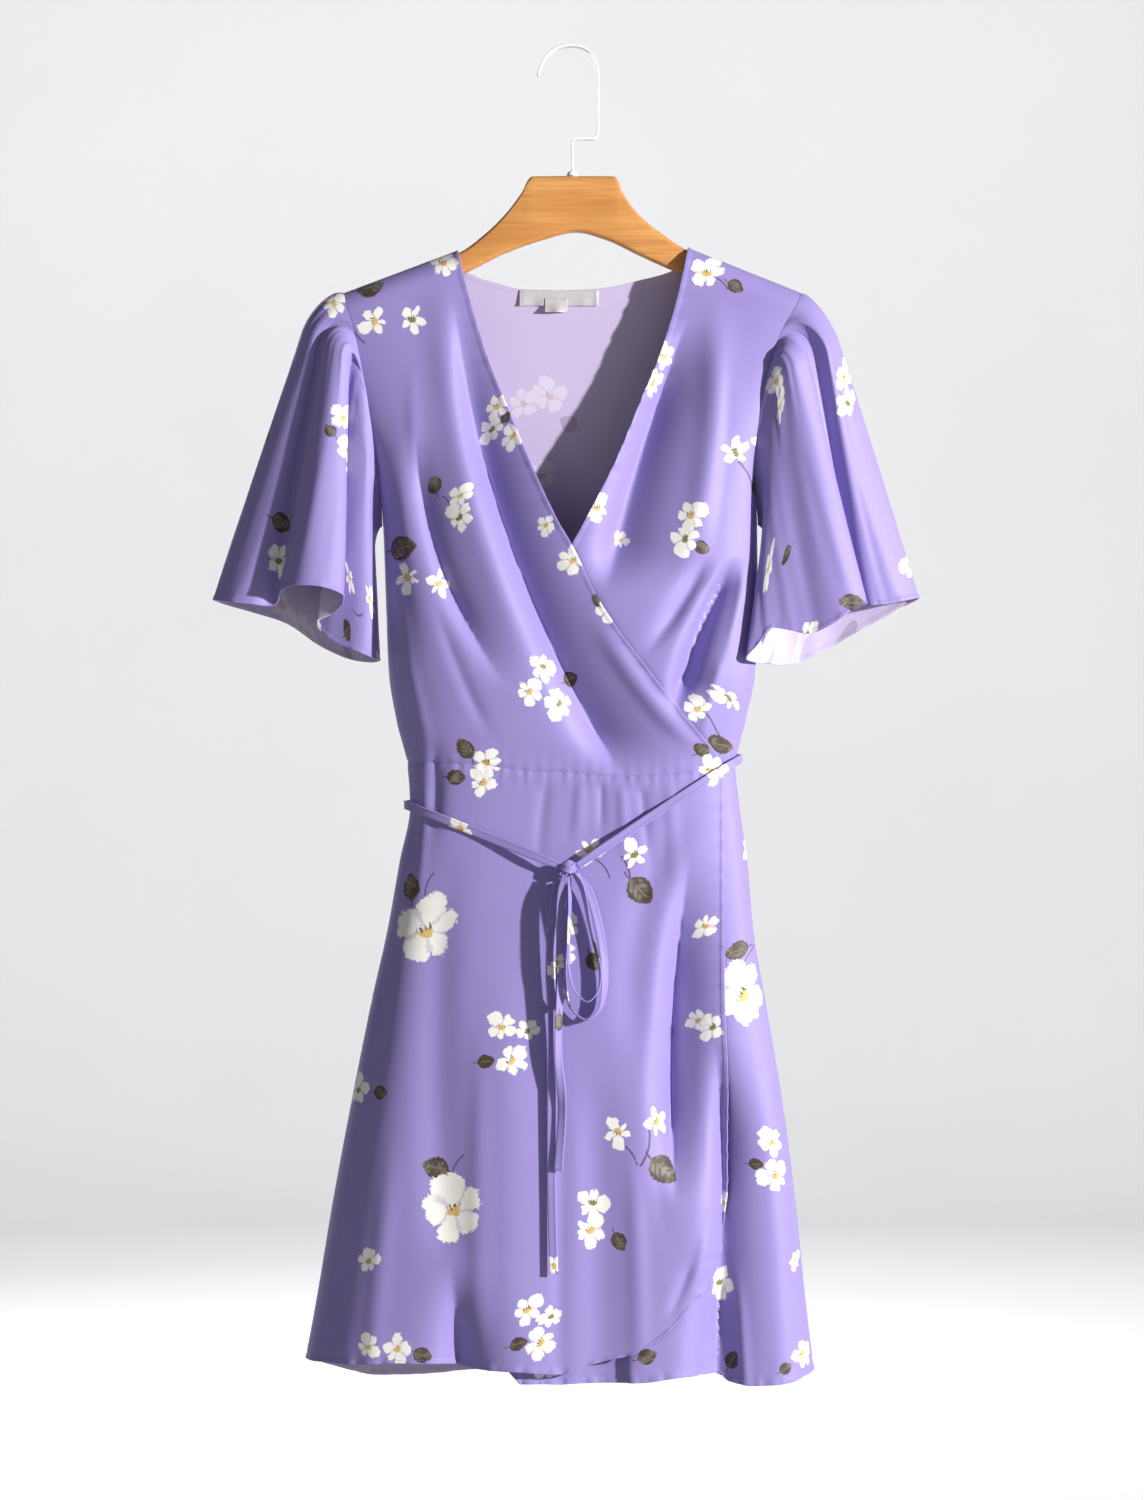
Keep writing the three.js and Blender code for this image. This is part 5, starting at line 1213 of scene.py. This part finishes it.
def print_on_ribbon(mesh, corner_s, corner_t, motifs, ends):
    """The print of a ribbon's quads. Its two end faces have none."""
    quads = len(corner_s)
    for name, kinds, rank in LAYERS_OF_PRINT:
        chosen = [m for m in motifs if m[0] in kinds]
        data = np.full((quads * 4 + 2 * ends, 3), 9.0)
        if len(chosen) > rank:
            s, t, size, turn = np.array([m[1:5] for m in chosen]).T
            away = np.hypot(corner_s.mean(axis=1)[:, None] - s, corner_t.mean(axis=1)[:, None] - t) / size
            near = np.argsort(away, axis=1)[:, rank]
            ds = (corner_s - s[near][:, None]) / size[near][:, None]
            dt = (corner_t - t[near][:, None]) / size[near][:, None]
            c, n = np.cos(turn[near])[:, None], np.sin(turn[near])[:, None]
            seeds = (0.37 * near[:, None]) % 0.98 + 0 * ds
            data[:quads * 4] = np.stack([ds * c + dt * n, dt * c - ds * n, seeds], axis=2).reshape(-1, 3)
        layer = mesh.attributes.new(name, "FLOAT_VECTOR", "CORNER")
        layer.data.foreach_set("vector", data.astype(np.float32).ravel())


def hanging_tie(name, rows, loop, motif_at, materials):
    t = np.linspace(0, 1, 24 * (len(rows) - 1) + 1)
    places = [row[:3] for row in rows]
    line = smooth_line(places, t)
    turn = np.radians(np.interp(t * (len(rows) - 1), np.arange(len(rows)), [row[3] for row in rows]))
    from_knot = np.minimum(t, 1 - t) if loop else t
    width = lerp(TIE_BUNCHED, TIE_WIDTH, smooth(0, 0.12, from_knot))
    face = np.stack([np.sin(turn), -np.cos(turn), 0 * turn], axis=1)
    obj, length = ribbon(name, line, face, width, motif_at, materials)
    return obj, line, length


def worn_tie(name, face, start, end, ease, motif_at, materials):
    """A stretch of tie that lies on the dress between two places, and stands off at the knot."""
    t = np.linspace(0, 1, 161)
    eased = {
        "start": lambda a: lerp(a, 1 - np.cos(math.pi * a / 2), 0.6),
        "both": lambda a: lerp(a, (1 - np.cos(math.pi * a)) / 2, 0.6),
    }[ease](t)
    x, z = lerp(start["x"], end["x"], eased), lerp(start["z"], end["z"], eased)
    side = -1.0 if face == "front" else 1.0
    step = 0.002
    inner = np.clip(x, body("minX", z) + 3 * step, body("maxX", z) - 3 * step)
    slope = (depth(face, [], inner + step, z) - depth(face, [], inner - step, z)) / (2 * step)
    out = np.stack([-slope, np.full_like(x, side), 0 * x], axis=1)
    out /= np.linalg.norm(out, axis=1, keepdims=True)
    lift = SOLID_CLOTH / 2 + SOLID_SEAM + SOLID_TIE / 2 + 1.1 + (LAYER if face == "front" else 0)
    lift = lift + lerp(start["off"], end["off"], smooth(0.35, 1, eased))
    line = np.stack([x, side * depth(face, [], x, z), z], axis=1) + out * lift[:, None]
    width = TIE_WIDTH - (1.6 * smooth(0.85, 1, eased) if face == "front" else 0) + 0 * t
    obj, length = ribbon(name, line, out, width, motif_at, materials)
    return obj, line, length


def knot(name, materials):
    """The knot: a rounded heart with two turns of the tie wrapped over it."""
    verts, faces = [], []

    def wrap(tilt, roll, radii, width, steps=40):
        """One turn of the tie round the knot, as a closed flattened ring."""
        start = len(verts)
        section = np.array(TIE_SECTION)
        for k in range(steps):
            a = math.tau * k / steps
            radial = np.array([math.cos(a) * radii[0], math.sin(a) * radii[1], 0.0])
            axis = np.array([0, 0, 1.0])
            outward = radial / np.linalg.norm(radial)
            for w, h in section:
                local = radial + axis * w * width + outward * h * 2.0
                ct, st = math.cos(tilt), math.sin(tilt)
                local = np.array([local[0] * ct + local[2] * st, local[1], local[2] * ct - local[0] * st])
                cr, sr = math.cos(roll), math.sin(roll)
                local = np.array([local[0], local[1] * cr - local[2] * sr, local[1] * sr + local[2] * cr])
                verts.append(local + [KNOT["x"], KNOT["y"], KNOT["z"]])
        m = len(section)
        for k in range(steps):
            for q in range(m):
                n, r = (k + 1) % steps, (q + 1) % m
                faces.append((start + k * m + q, start + k * m + r, start + n * m + r, start + n * m + q))

    wrap(0.35, 0.1, (5.2, 4.3), 6.0)
    wrap(-0.95, -0.25, (6.0, 3.6), 5.0)
    start = len(verts)
    rings, around_steps = 10, 24
    for j in range(rings + 1):
        for k in range(around_steps):
            up, a = math.pi * j / rings, math.tau * k / around_steps
            rough = 1 + 0.06 * math.sin(3 * a + 2 * up)
            verts.append(np.array([
                KNOT["x"] + 0.4 * KNOT["width"] * rough * math.sin(up) * math.cos(a),
                KNOT["y"] + 0.4 * KNOT["depth"] * rough * math.sin(up) * math.sin(a),
                KNOT["z"] + 0.46 * KNOT["height"] * math.cos(up),
            ]))
    for j in range(rings):
        for k in range(around_steps):
            n = (k + 1) % around_steps
            a = start + j * around_steps
            faces.append((a + k, a + around_steps + k, a + around_steps + n, a + n))
    return new_object(name, verts, faces, materials)


def round_outline(corners, radius, steps):
    """A closed outline with each corner rounded as far as its sides allow."""
    p = np.array(corners, float)
    out = []
    for k in range(len(p)):
        a, b, c = p[k - 1], p[k], p[(k + 1) % len(p)]
        r = min(radius, 0.48 * np.linalg.norm(b - a), 0.48 * np.linalg.norm(c - b))
        start, end = b + (a - b) / np.linalg.norm(a - b) * r, b + (c - b) / np.linalg.norm(c - b) * r
        for t in np.linspace(0, 1, steps):
            out.append((1 - t) ** 2 * start + 2 * t * (1 - t) * b + t ** 2 * end)
    return np.array(out)


def hanger_wood(material):
    """The board of the hanger, with rounded edges all round."""
    clear = SOLID_CLOTH / 2 + SOLID_SEAM + 0.5
    left_z, right_z = float(shoulder_z(-ARM_END_X)) - clear, float(shoulder_z(ARM_END_X)) - clear
    upper = table("x z", [
        (-ARM_END_X, left_z), (-88.5, float(shoulder_z(-88.5)) - clear - 0.4), (-68, -149), (-52, -133),
        (-39, -115.5), (-34.5, -106.5), (-31, -103.7), (0, -103.5), (34, -103.7), (37.5, -106.5),
        (41, -116), (54.5, -134.5), (74.5, -151),
        (91.5, float(shoulder_z(91.5)) - clear - 0.4), (ARM_END_X, right_z),
    ])
    lower = table("x z", [
        (-ARM_END_X, left_z - ARM_HEIGHT), (-85, -181), (-52, -165), (-22.5, -154.5), (4, -148.5),
        (28, -154.5), (54.5, -167), (86.5, -181), (ARM_END_X, right_z - ARM_HEIGHT),
    ])
    end = ARM_END_X + 2
    x = np.concatenate([-end + HANGER_END * np.linspace(0.0005, 1, 14) ** 2, np.linspace(-end + 7, end - 7, 260),
                        end - HANGER_END * np.linspace(1, 0.0005, 14) ** 2])
    top, bottom = read(upper, "x", "z", x), read(lower, "x", "z", x)
    taper = np.sqrt(1 - (1 - np.clip((end - np.abs(x)) / HANGER_END, 0, 1)) ** 2)
    half_z, half_y = (top - bottom) / 2 * taper, WOOD_THICK / 2 * (0.25 + 0.75 * taper)
    edge = np.minimum(WOOD_ROUND, 0.92 * np.minimum(half_z, half_y))
    ring = []
    for sign_y, sign_z, first in ((1, 1, 0), (-1, 1, 90), (-1, -1, 180), (1, -1, 270)):
        for turn in np.radians(first + np.linspace(0, 90, 8)):
            y = sign_y * (half_y - edge) + edge * math.cos(turn)
            z = (top + bottom) / 2 + sign_z * (half_z - edge) + edge * math.sin(turn)
            ring.append(np.stack([x, y, z], axis=1))
    verts = np.stack(ring, axis=1).reshape(-1, 3)
    m, n = len(ring), len(x)
    faces = [(k * m + q, k * m + (q + 1) % m, (k + 1) * m + (q + 1) % m, (k + 1) * m + q)
             for k in range(n - 1) for q in range(m)]
    faces += [tuple(range(m))[::-1], tuple(range((n - 1) * m, n * m))]
    return new_object("hanger_board", verts, faces, [material])


def bezier(points, steps):
    p = np.array(points, float)
    t = np.linspace(0, 1, steps)[:, None]
    if len(p) == 2:
        return lerp(p[0], p[1], t)
    if len(p) == 3:
        return (1 - t) ** 2 * p[0] + 2 * t * (1 - t) * p[1] + t ** 2 * p[2]
    return (1 - t) ** 3 * p[0] + 3 * t * (1 - t) ** 2 * p[1] + 3 * t ** 2 * (1 - t) * p[2] + t ** 3 * p[3]


def hanger_hook(material):
    """The hook: one bent strip of metal with eased edges, seen edge-on from the front."""
    half = HOOK_THICK / 2
    runs = [
        bezier([(1, -99.6), (1, -77)], 6), bezier([(1, -77), (1, -73.6), (5, -73.6)], 10),
        bezier([(5, -73.6), (17, -73.6)], 4), bezier([(17, -73.6), (21.5, -73.6), (21.5, -68)], 10),
        bezier([(21.5, -68), (21.5, -22)], 8),
        bezier([(21.5, -22), (21.5, -6), (12, half), (0, half)], 24),
        bezier([(0, half), (-14, half), (-22, -6), (-26.5, -23)], 26),
    ]
    line = np.vstack([runs[0]] + [run[1:] for run in runs[1:]])
    along = np.gradient(line, axis=0)
    along /= np.linalg.norm(along, axis=1, keepdims=True)
    side = np.stack([-along[:, 1], along[:, 0]], axis=1)
    ease = 0.45
    wide = HOOK_WIDTH / 2
    section = []
    for cx, cy, first in ((half - ease, wide - ease, 0), (-half + ease, wide - ease, 90),
                          (-half + ease, -wide + ease, 180), (half - ease, -wide + ease, 270)):
        for a in (0, 30, 60, 90):
            turn = math.radians(first + a)
            section.append((cx + ease * math.cos(turn), cy + ease * math.sin(turn)))
    section = np.array(section)
    m, n = len(section), len(line)
    verts = []
    for p, s in zip(line, side):
        for w, y in section:
            verts.append((p[0] + s[0] * w, y, p[1] + s[1] * w))
    faces = []
    for k in range(n - 1):
        faces += [(k * m + q, k * m + (q + 1) % m, (k + 1) * m + (q + 1) % m, (k + 1) * m + q) for q in range(m)]
    faces += [tuple(range(m))[::-1], tuple(range((n - 1) * m, n * m))]
    return new_object("hook_strip", verts, faces, [material])


def lathe(name, profile, centre, material, steps=48):
    """A turned piece on an upright axis. profile is its radii and heights from top to bottom."""
    verts, faces = [], []
    for radius, z in profile:
        for k in range(steps):
            a = math.tau * k / steps
            verts.append((centre[0] + radius * math.cos(a), centre[1] + radius * math.sin(a), centre[2] + z))
    for j in range(len(profile) - 1):
        for k in range(steps):
            n = (k + 1) % steps
            faces.append((j * steps + k, (j + 1) * steps + k, (j + 1) * steps + n, j * steps + n))
    faces.append(tuple(range(steps)))
    faces.append(tuple(range((len(profile) - 1) * steps, len(profile) * steps))[::-1])
    return new_object(name, verts, faces, [material])


def neck_piece(name, spec, inward, curl, material):
    """A woven label on the inside of the back neck, its free edge lifting a little."""
    w = np.linspace(0, 1, 40)[None, :]
    v = np.linspace(0, 1, 14)[:, None]
    x = lerp(spec["minX"], spec["maxX"], w) + 0 * v
    z = lerp(spec["top"], spec["bottom"], v) + 0 * w
    base = np.stack([x, depth("back", FOLDS["back"], x, z), z], axis=2)
    facing = np.array([0, 1.0, 0])
    way = normals(base, False, facing)
    lift = inward + curl * v ** 2 * (0.6 + 0.4 * ripple(x, 40, 7))
    base = base - way * lift[:, :, None]
    way = normals(base, False, facing)
    half = spec["thick"] / 2
    rows, count = x.shape
    outer, inner = (base + way * half).reshape(-1, 3), (base - way * half).reshape(-1, 3)
    j, i = [a.ravel() for a in np.meshgrid(np.arange(rows - 1), np.arange(count - 1), indexing="ij")]
    ids = np.stack([j * count + i, j * count + i + 1, (j + 1) * count + i + 1, (j + 1) * count + i], axis=1)
    sheet = rows * count
    faces = [ids, ids[:, ::-1] + sheet]
    at = np.array(border_loops(rows, count, False)[0])
    edge = at[:, 0] * count + at[:, 1]
    nxt = np.roll(edge, -1)
    faces.append(np.stack([nxt, edge, sheet + edge, sheet + nxt], axis=1))
    return new_object(name, np.vstack([outer, inner]), np.vstack(faces), [material]), (base, way)


def turned_right_way(obj):
    """Makes every face of a closed mesh point out."""
    import bmesh
    bm = bmesh.new()
    bm.from_mesh(obj.data)
    bmesh.ops.recalc_face_normals(bm, faces=bm.faces)
    bm.to_mesh(obj.data)
    bm.free()


def make_camera():
    data = bpy.data.cameras.new("camera")
    data.sensor_width = SENSOR
    data.sensor_fit = "AUTO"
    data.lens = SENSOR * CAMERA_AWAY / VIEW_HEIGHT
    camera = bpy.data.objects.new("camera", data)
    camera.location = (VIEW_X, -CAMERA_AWAY, VIEW_Z)
    camera.rotation_euler = (math.radians(90), 0, 0)
    bpy.context.scene.collection.objects.link(camera)
    bpy.context.scene.camera = camera


def area_light(name, place, target, size, power, colour):
    data = bpy.data.lights.new(name, "AREA")
    data.shape = "DISK"
    data.size = size
    data.energy = power
    data.color = colour
    light = bpy.data.objects.new(name, data)
    light.location = place
    light.rotation_euler = (Vector(target) - Vector(place)).to_track_quat("-Z", "Y").to_euler()
    bpy.context.scene.collection.objects.link(light)


def make_stage():
    """A pale floor that curves up all round, soft light from all sides, and one key light."""
    floor_z, flat, bend, top, steps = -1.45, 4.6, 1.6, 2.6, 96
    profile = [(0.02, floor_z), (flat, floor_z)]
    for k in range(1, 13):
        a = math.pi / 2 * k / 12
        profile.append((flat + bend * math.sin(a), floor_z + bend * (1 - math.cos(a))))
    profile.append((flat + bend, top))
    verts, faces = [], []
    for radius, z in profile:
        for k in range(steps):
            a = math.tau * k / steps
            verts.append((radius * math.cos(a) / MM, radius * math.sin(a) / MM, z / MM))
    for j in range(len(profile) - 1):
        for k in range(steps):
            n = (k + 1) % steps
            faces.append((j * steps + k, j * steps + n, (j + 1) * steps + n, (j + 1) * steps + k))
    floor = new_object("stage_floor", verts, faces, [plain_stage()])
    world = bpy.data.worlds.new("studio")
    world.use_nodes = True
    world.node_tree.nodes["Background"].inputs["Color"].default_value = (0.97, 0.98, 1.0, 1)
    world.node_tree.nodes["Background"].inputs["Strength"].default_value = 0.08
    bpy.context.scene.world = world
    centre = (0, 0, -0.55)
    area_light("key", (3.04, -1.95, 0.15), centre, 0.12, 236, (1.0, 0.985, 0.96))
    area_light("fill", (-2.2, -3.0, 0.2), centre, 2.4, 6, (0.93, 0.88, 1.0))
    area_light("back_fill", (-1.2, 3.0, 0.6), centre, 2.2, 36, (0.98, 0.98, 1.0))
    area_light("backdrop_wash", (0, 1.6, 1.8), (0, 6.2, -0.6), 2.0, 275, (1.0, 1.0, 1.0))


def behind(rows, shift):
    """The chart's motifs as they fall on the back."""
    out = []
    for kind, x, z, size, turn in rows:
        down = z - shift
        down = down + 860 if down < -1066 else down
        out.append([kind, -x + 10, down, size, turn + 40])
    return out


def make_cloth(cloth, inside, sewing):
    front = {
        "bodice_front_right": (bodice_front_right(), "over"),
        "bodice_front_left": (bodice_front_left(), "under"),
        "skirt_front_right": (skirt_front_right(), "over"),
        "skirt_front_left": (skirt_front_left(), "under"),
    }
    grids = {name: grid for name, (grid, _) in front.items()}
    charts = {name: [(row, True) for row in PRINT[key]] for name, (_, key) in front.items()}
    for name, maker in (("bodice_back", bodice_back), ("skirt_back", skirt_back)):
        grids[name] = maker()
        rows = behind(PRINT["over"], 96) + behind(PRINT["under"], 96)
        charts[name] = [(row, False) for row in rows]
    charts["bodice_back"] = [(row, False) for row in PRINT["inside_back"]]
    for name, rows, column, key in (
        ("sleeve_right", RIGHT_SLEEVE, "minX", "right_sleeve"),
        ("sleeve_left", LEFT_SLEEVE, "maxX", "left_sleeve"),
    ):
        grids[name] = sleeve(rows, column)
        behind_rows = [[kind, x, z - 34, size, turn] for kind, x, z, size, turn in PRINT[key]]
        charts[name] = [(row, True) for row in PRINT[key]] + [(row, False) for row in behind_rows]
    for name, grid in grids.items():
        obj = cloth_piece("cloth_" + name, grid, charts[name], None, [cloth, inside])
        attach(obj, "root")
        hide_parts(name)
        points = grid["points"]
        steps = np.linalg.norm(np.cross(points[1:, :-1] - points[:-1, :-1], points[:-1, 1:] - points[:-1, :-1]), axis=2)
        print("AREA", name, round(steps.sum() / 1e6, 4))
    last = -1 - HEM_ROW
    sewn = {
        "skirt_front_right": [line_of(grids["skirt_front_right"], column=last),
                              line_of(grids["skirt_front_right"], row=last)],
        "skirt_front_left": [line_of(grids["skirt_front_left"], column=HEM_ROW),
                             line_of(grids["skirt_front_left"], row=last)],
        "skirt_back": [line_of(grids["skirt_back"], row=last)],
        "sleeve_right": [line_of(grids["sleeve_right"], row=last)],
        "sleeve_left": [line_of(grids["sleeve_left"], row=last)],
    }
    for name, lines in sewn.items():
        obj = stitches("stitches_" + name, lines, sewing)
        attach(obj, "root")


def make_hanger(board, metal):
    piece = hanger_wood(board)
    hook = hanger_hook(metal)
    collar = lathe(
        "hook_collar",
        [(0.6, 1.7), (3.4, 1.6), (4.0, 1.3), (4.3, 0.6), (4.5, -0.4), (4.9, -1.2), (5.1, -1.6), (0.6, -1.6)],
        (1, 0, -101.5), metal,
    )
    for obj, node, slot in ((piece, "hanger_body", "wood"), (hook, "hanger_hook", "hook"),
                            (collar, "hanger_ferrule", "hook")):
        turned_right_way(obj)
        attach(obj, "root")
        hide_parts(node)


def make_label(material, sewing):
    on_back = SHELL / 2 + 0.25 + LABEL["thick"] / 2
    label, (base, way) = neck_piece("label_woven", LABEL, on_back, 2.2, material)
    tab, _ = neck_piece("label_size_tab", SIZE_TAB, on_back + 1.2, 5.0, material)
    for obj, node in ((label, "neck_label"), (tab, "size_tab")):
        turned_right_way(obj)
        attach(obj, "root")
        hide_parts(node)
    lines = []
    for column in (2, -3):
        lines.append((base[:, column] - way[:, column] * LABEL["thick"] / 2, -way[:, column]))
    thread_marks = stitches("stitches_label", lines, sewing)
    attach(thread_marks, "root")


def make_tie(cloth):
    """The tie in its stretches, each a cord of its own real length."""
    knot_piece = knot("tie_knot_wrapped", [cloth])
    turned_right_way(knot_piece)
    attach(knot_piece, "root")
    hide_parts("tie_knot")
    print_nothing(knot_piece.data)
    beside = KNOT["width"] / 2 + SOLID_SEAM - 0.1
    side = {}
    for column, toward in (("minX", -1), ("maxX", 1)):
        z = TIE_SIDE_Z[column]
        side[column] = (
            {"x": float(body(column, z)), "z": z, "off": 0},
            {"x": KNOT["x"] + toward * beside, "z": KNOT["z"] + 2, "off": TIE_STANDS_OFF},
        )
    back = ({"x": float(body("minX", TIE_SIDE_Z["minX"])), "z": TIE_SIDE_Z["minX"], "off": 0},
            {"x": float(body("maxX", TIE_SIDE_Z["maxX"])), "z": TIE_SIDE_Z["maxX"], "off": 0})
    made = {
        "tie_right_band": worn_tie("tie_ribbon_right", "front", *side["minX"], "start",
                                   [["bloom", 0.42, 2, 12, 0]], [cloth]),
        "tie_left_band": worn_tie("tie_ribbon_left", "front", *side["maxX"], "start",
                                  [["bloom", 0.2, -5, 12, 0]], [cloth]),
        "tie_back": worn_tie("tie_ribbon_back", "back", *back, "both",
                             [["bloom", 0.3, 2, 12, 0], ["leaf", 0.7, 0, 8, 20]], [cloth]),
        "tie_long_tail": hanging_tie("tie_end_long", LONG_TAIL, False,
                                     [["bloom", 0.98, 0, 9, 0], ["bloom", 0.24, -4, 9, 0]], [cloth]),
        "tie_short_tail": hanging_tie("tie_end_short", SHORT_TAIL, False,
                                      [["bloom", 0.3, 3, 9, 0], ["leaf", 0.5, 0, 7, 0]], [cloth]),
        "tie_small_loop": hanging_tie("tie_bow_small", SMALL_LOOP, True,
                                      [["bloom", 0.2, 0, 12, 0], ["leaf", 0.7, 0, 8, 0]], [cloth]),
        "tie_large_loop": hanging_tie("tie_bow_large", LARGE_LOOP, True,
                                      [["bloom", 0.62, 2, 10, 0]], [cloth]),
    }
    for node, (obj, line, length) in made.items():
        turned_right_way(obj)
        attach(obj, "root")
        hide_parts(node)
        print("TIE", node, round(length, 1))


def print_nothing(mesh):
    """A piece with none of the printed flowers."""
    for name, _, _ in LAYERS_OF_PRINT:
        layer = mesh.attributes.new(name, "FLOAT_VECTOR", "CORNER")
        layer.data.foreach_set("vector", np.full(3 * len(mesh.loops), 9.0, np.float32))


def main():
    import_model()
    make_camera()
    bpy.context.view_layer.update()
    cloth = crepe("printed_crepe", PURPLE, PURPLE_DEEP, 1.0)
    inside = crepe("crepe_wrong_side", WRONG_SIDE, WRONG_SIDE_DEEP, 0.35)
    sewing = thread()
    make_tie(cloth)
    make_cloth(cloth, inside, sewing)
    make_hanger(wood(), white_metal())
    make_label(satin(), sewing)
    make_stage()
    bpy.context.scene.view_settings.view_transform = "Standard"


main()
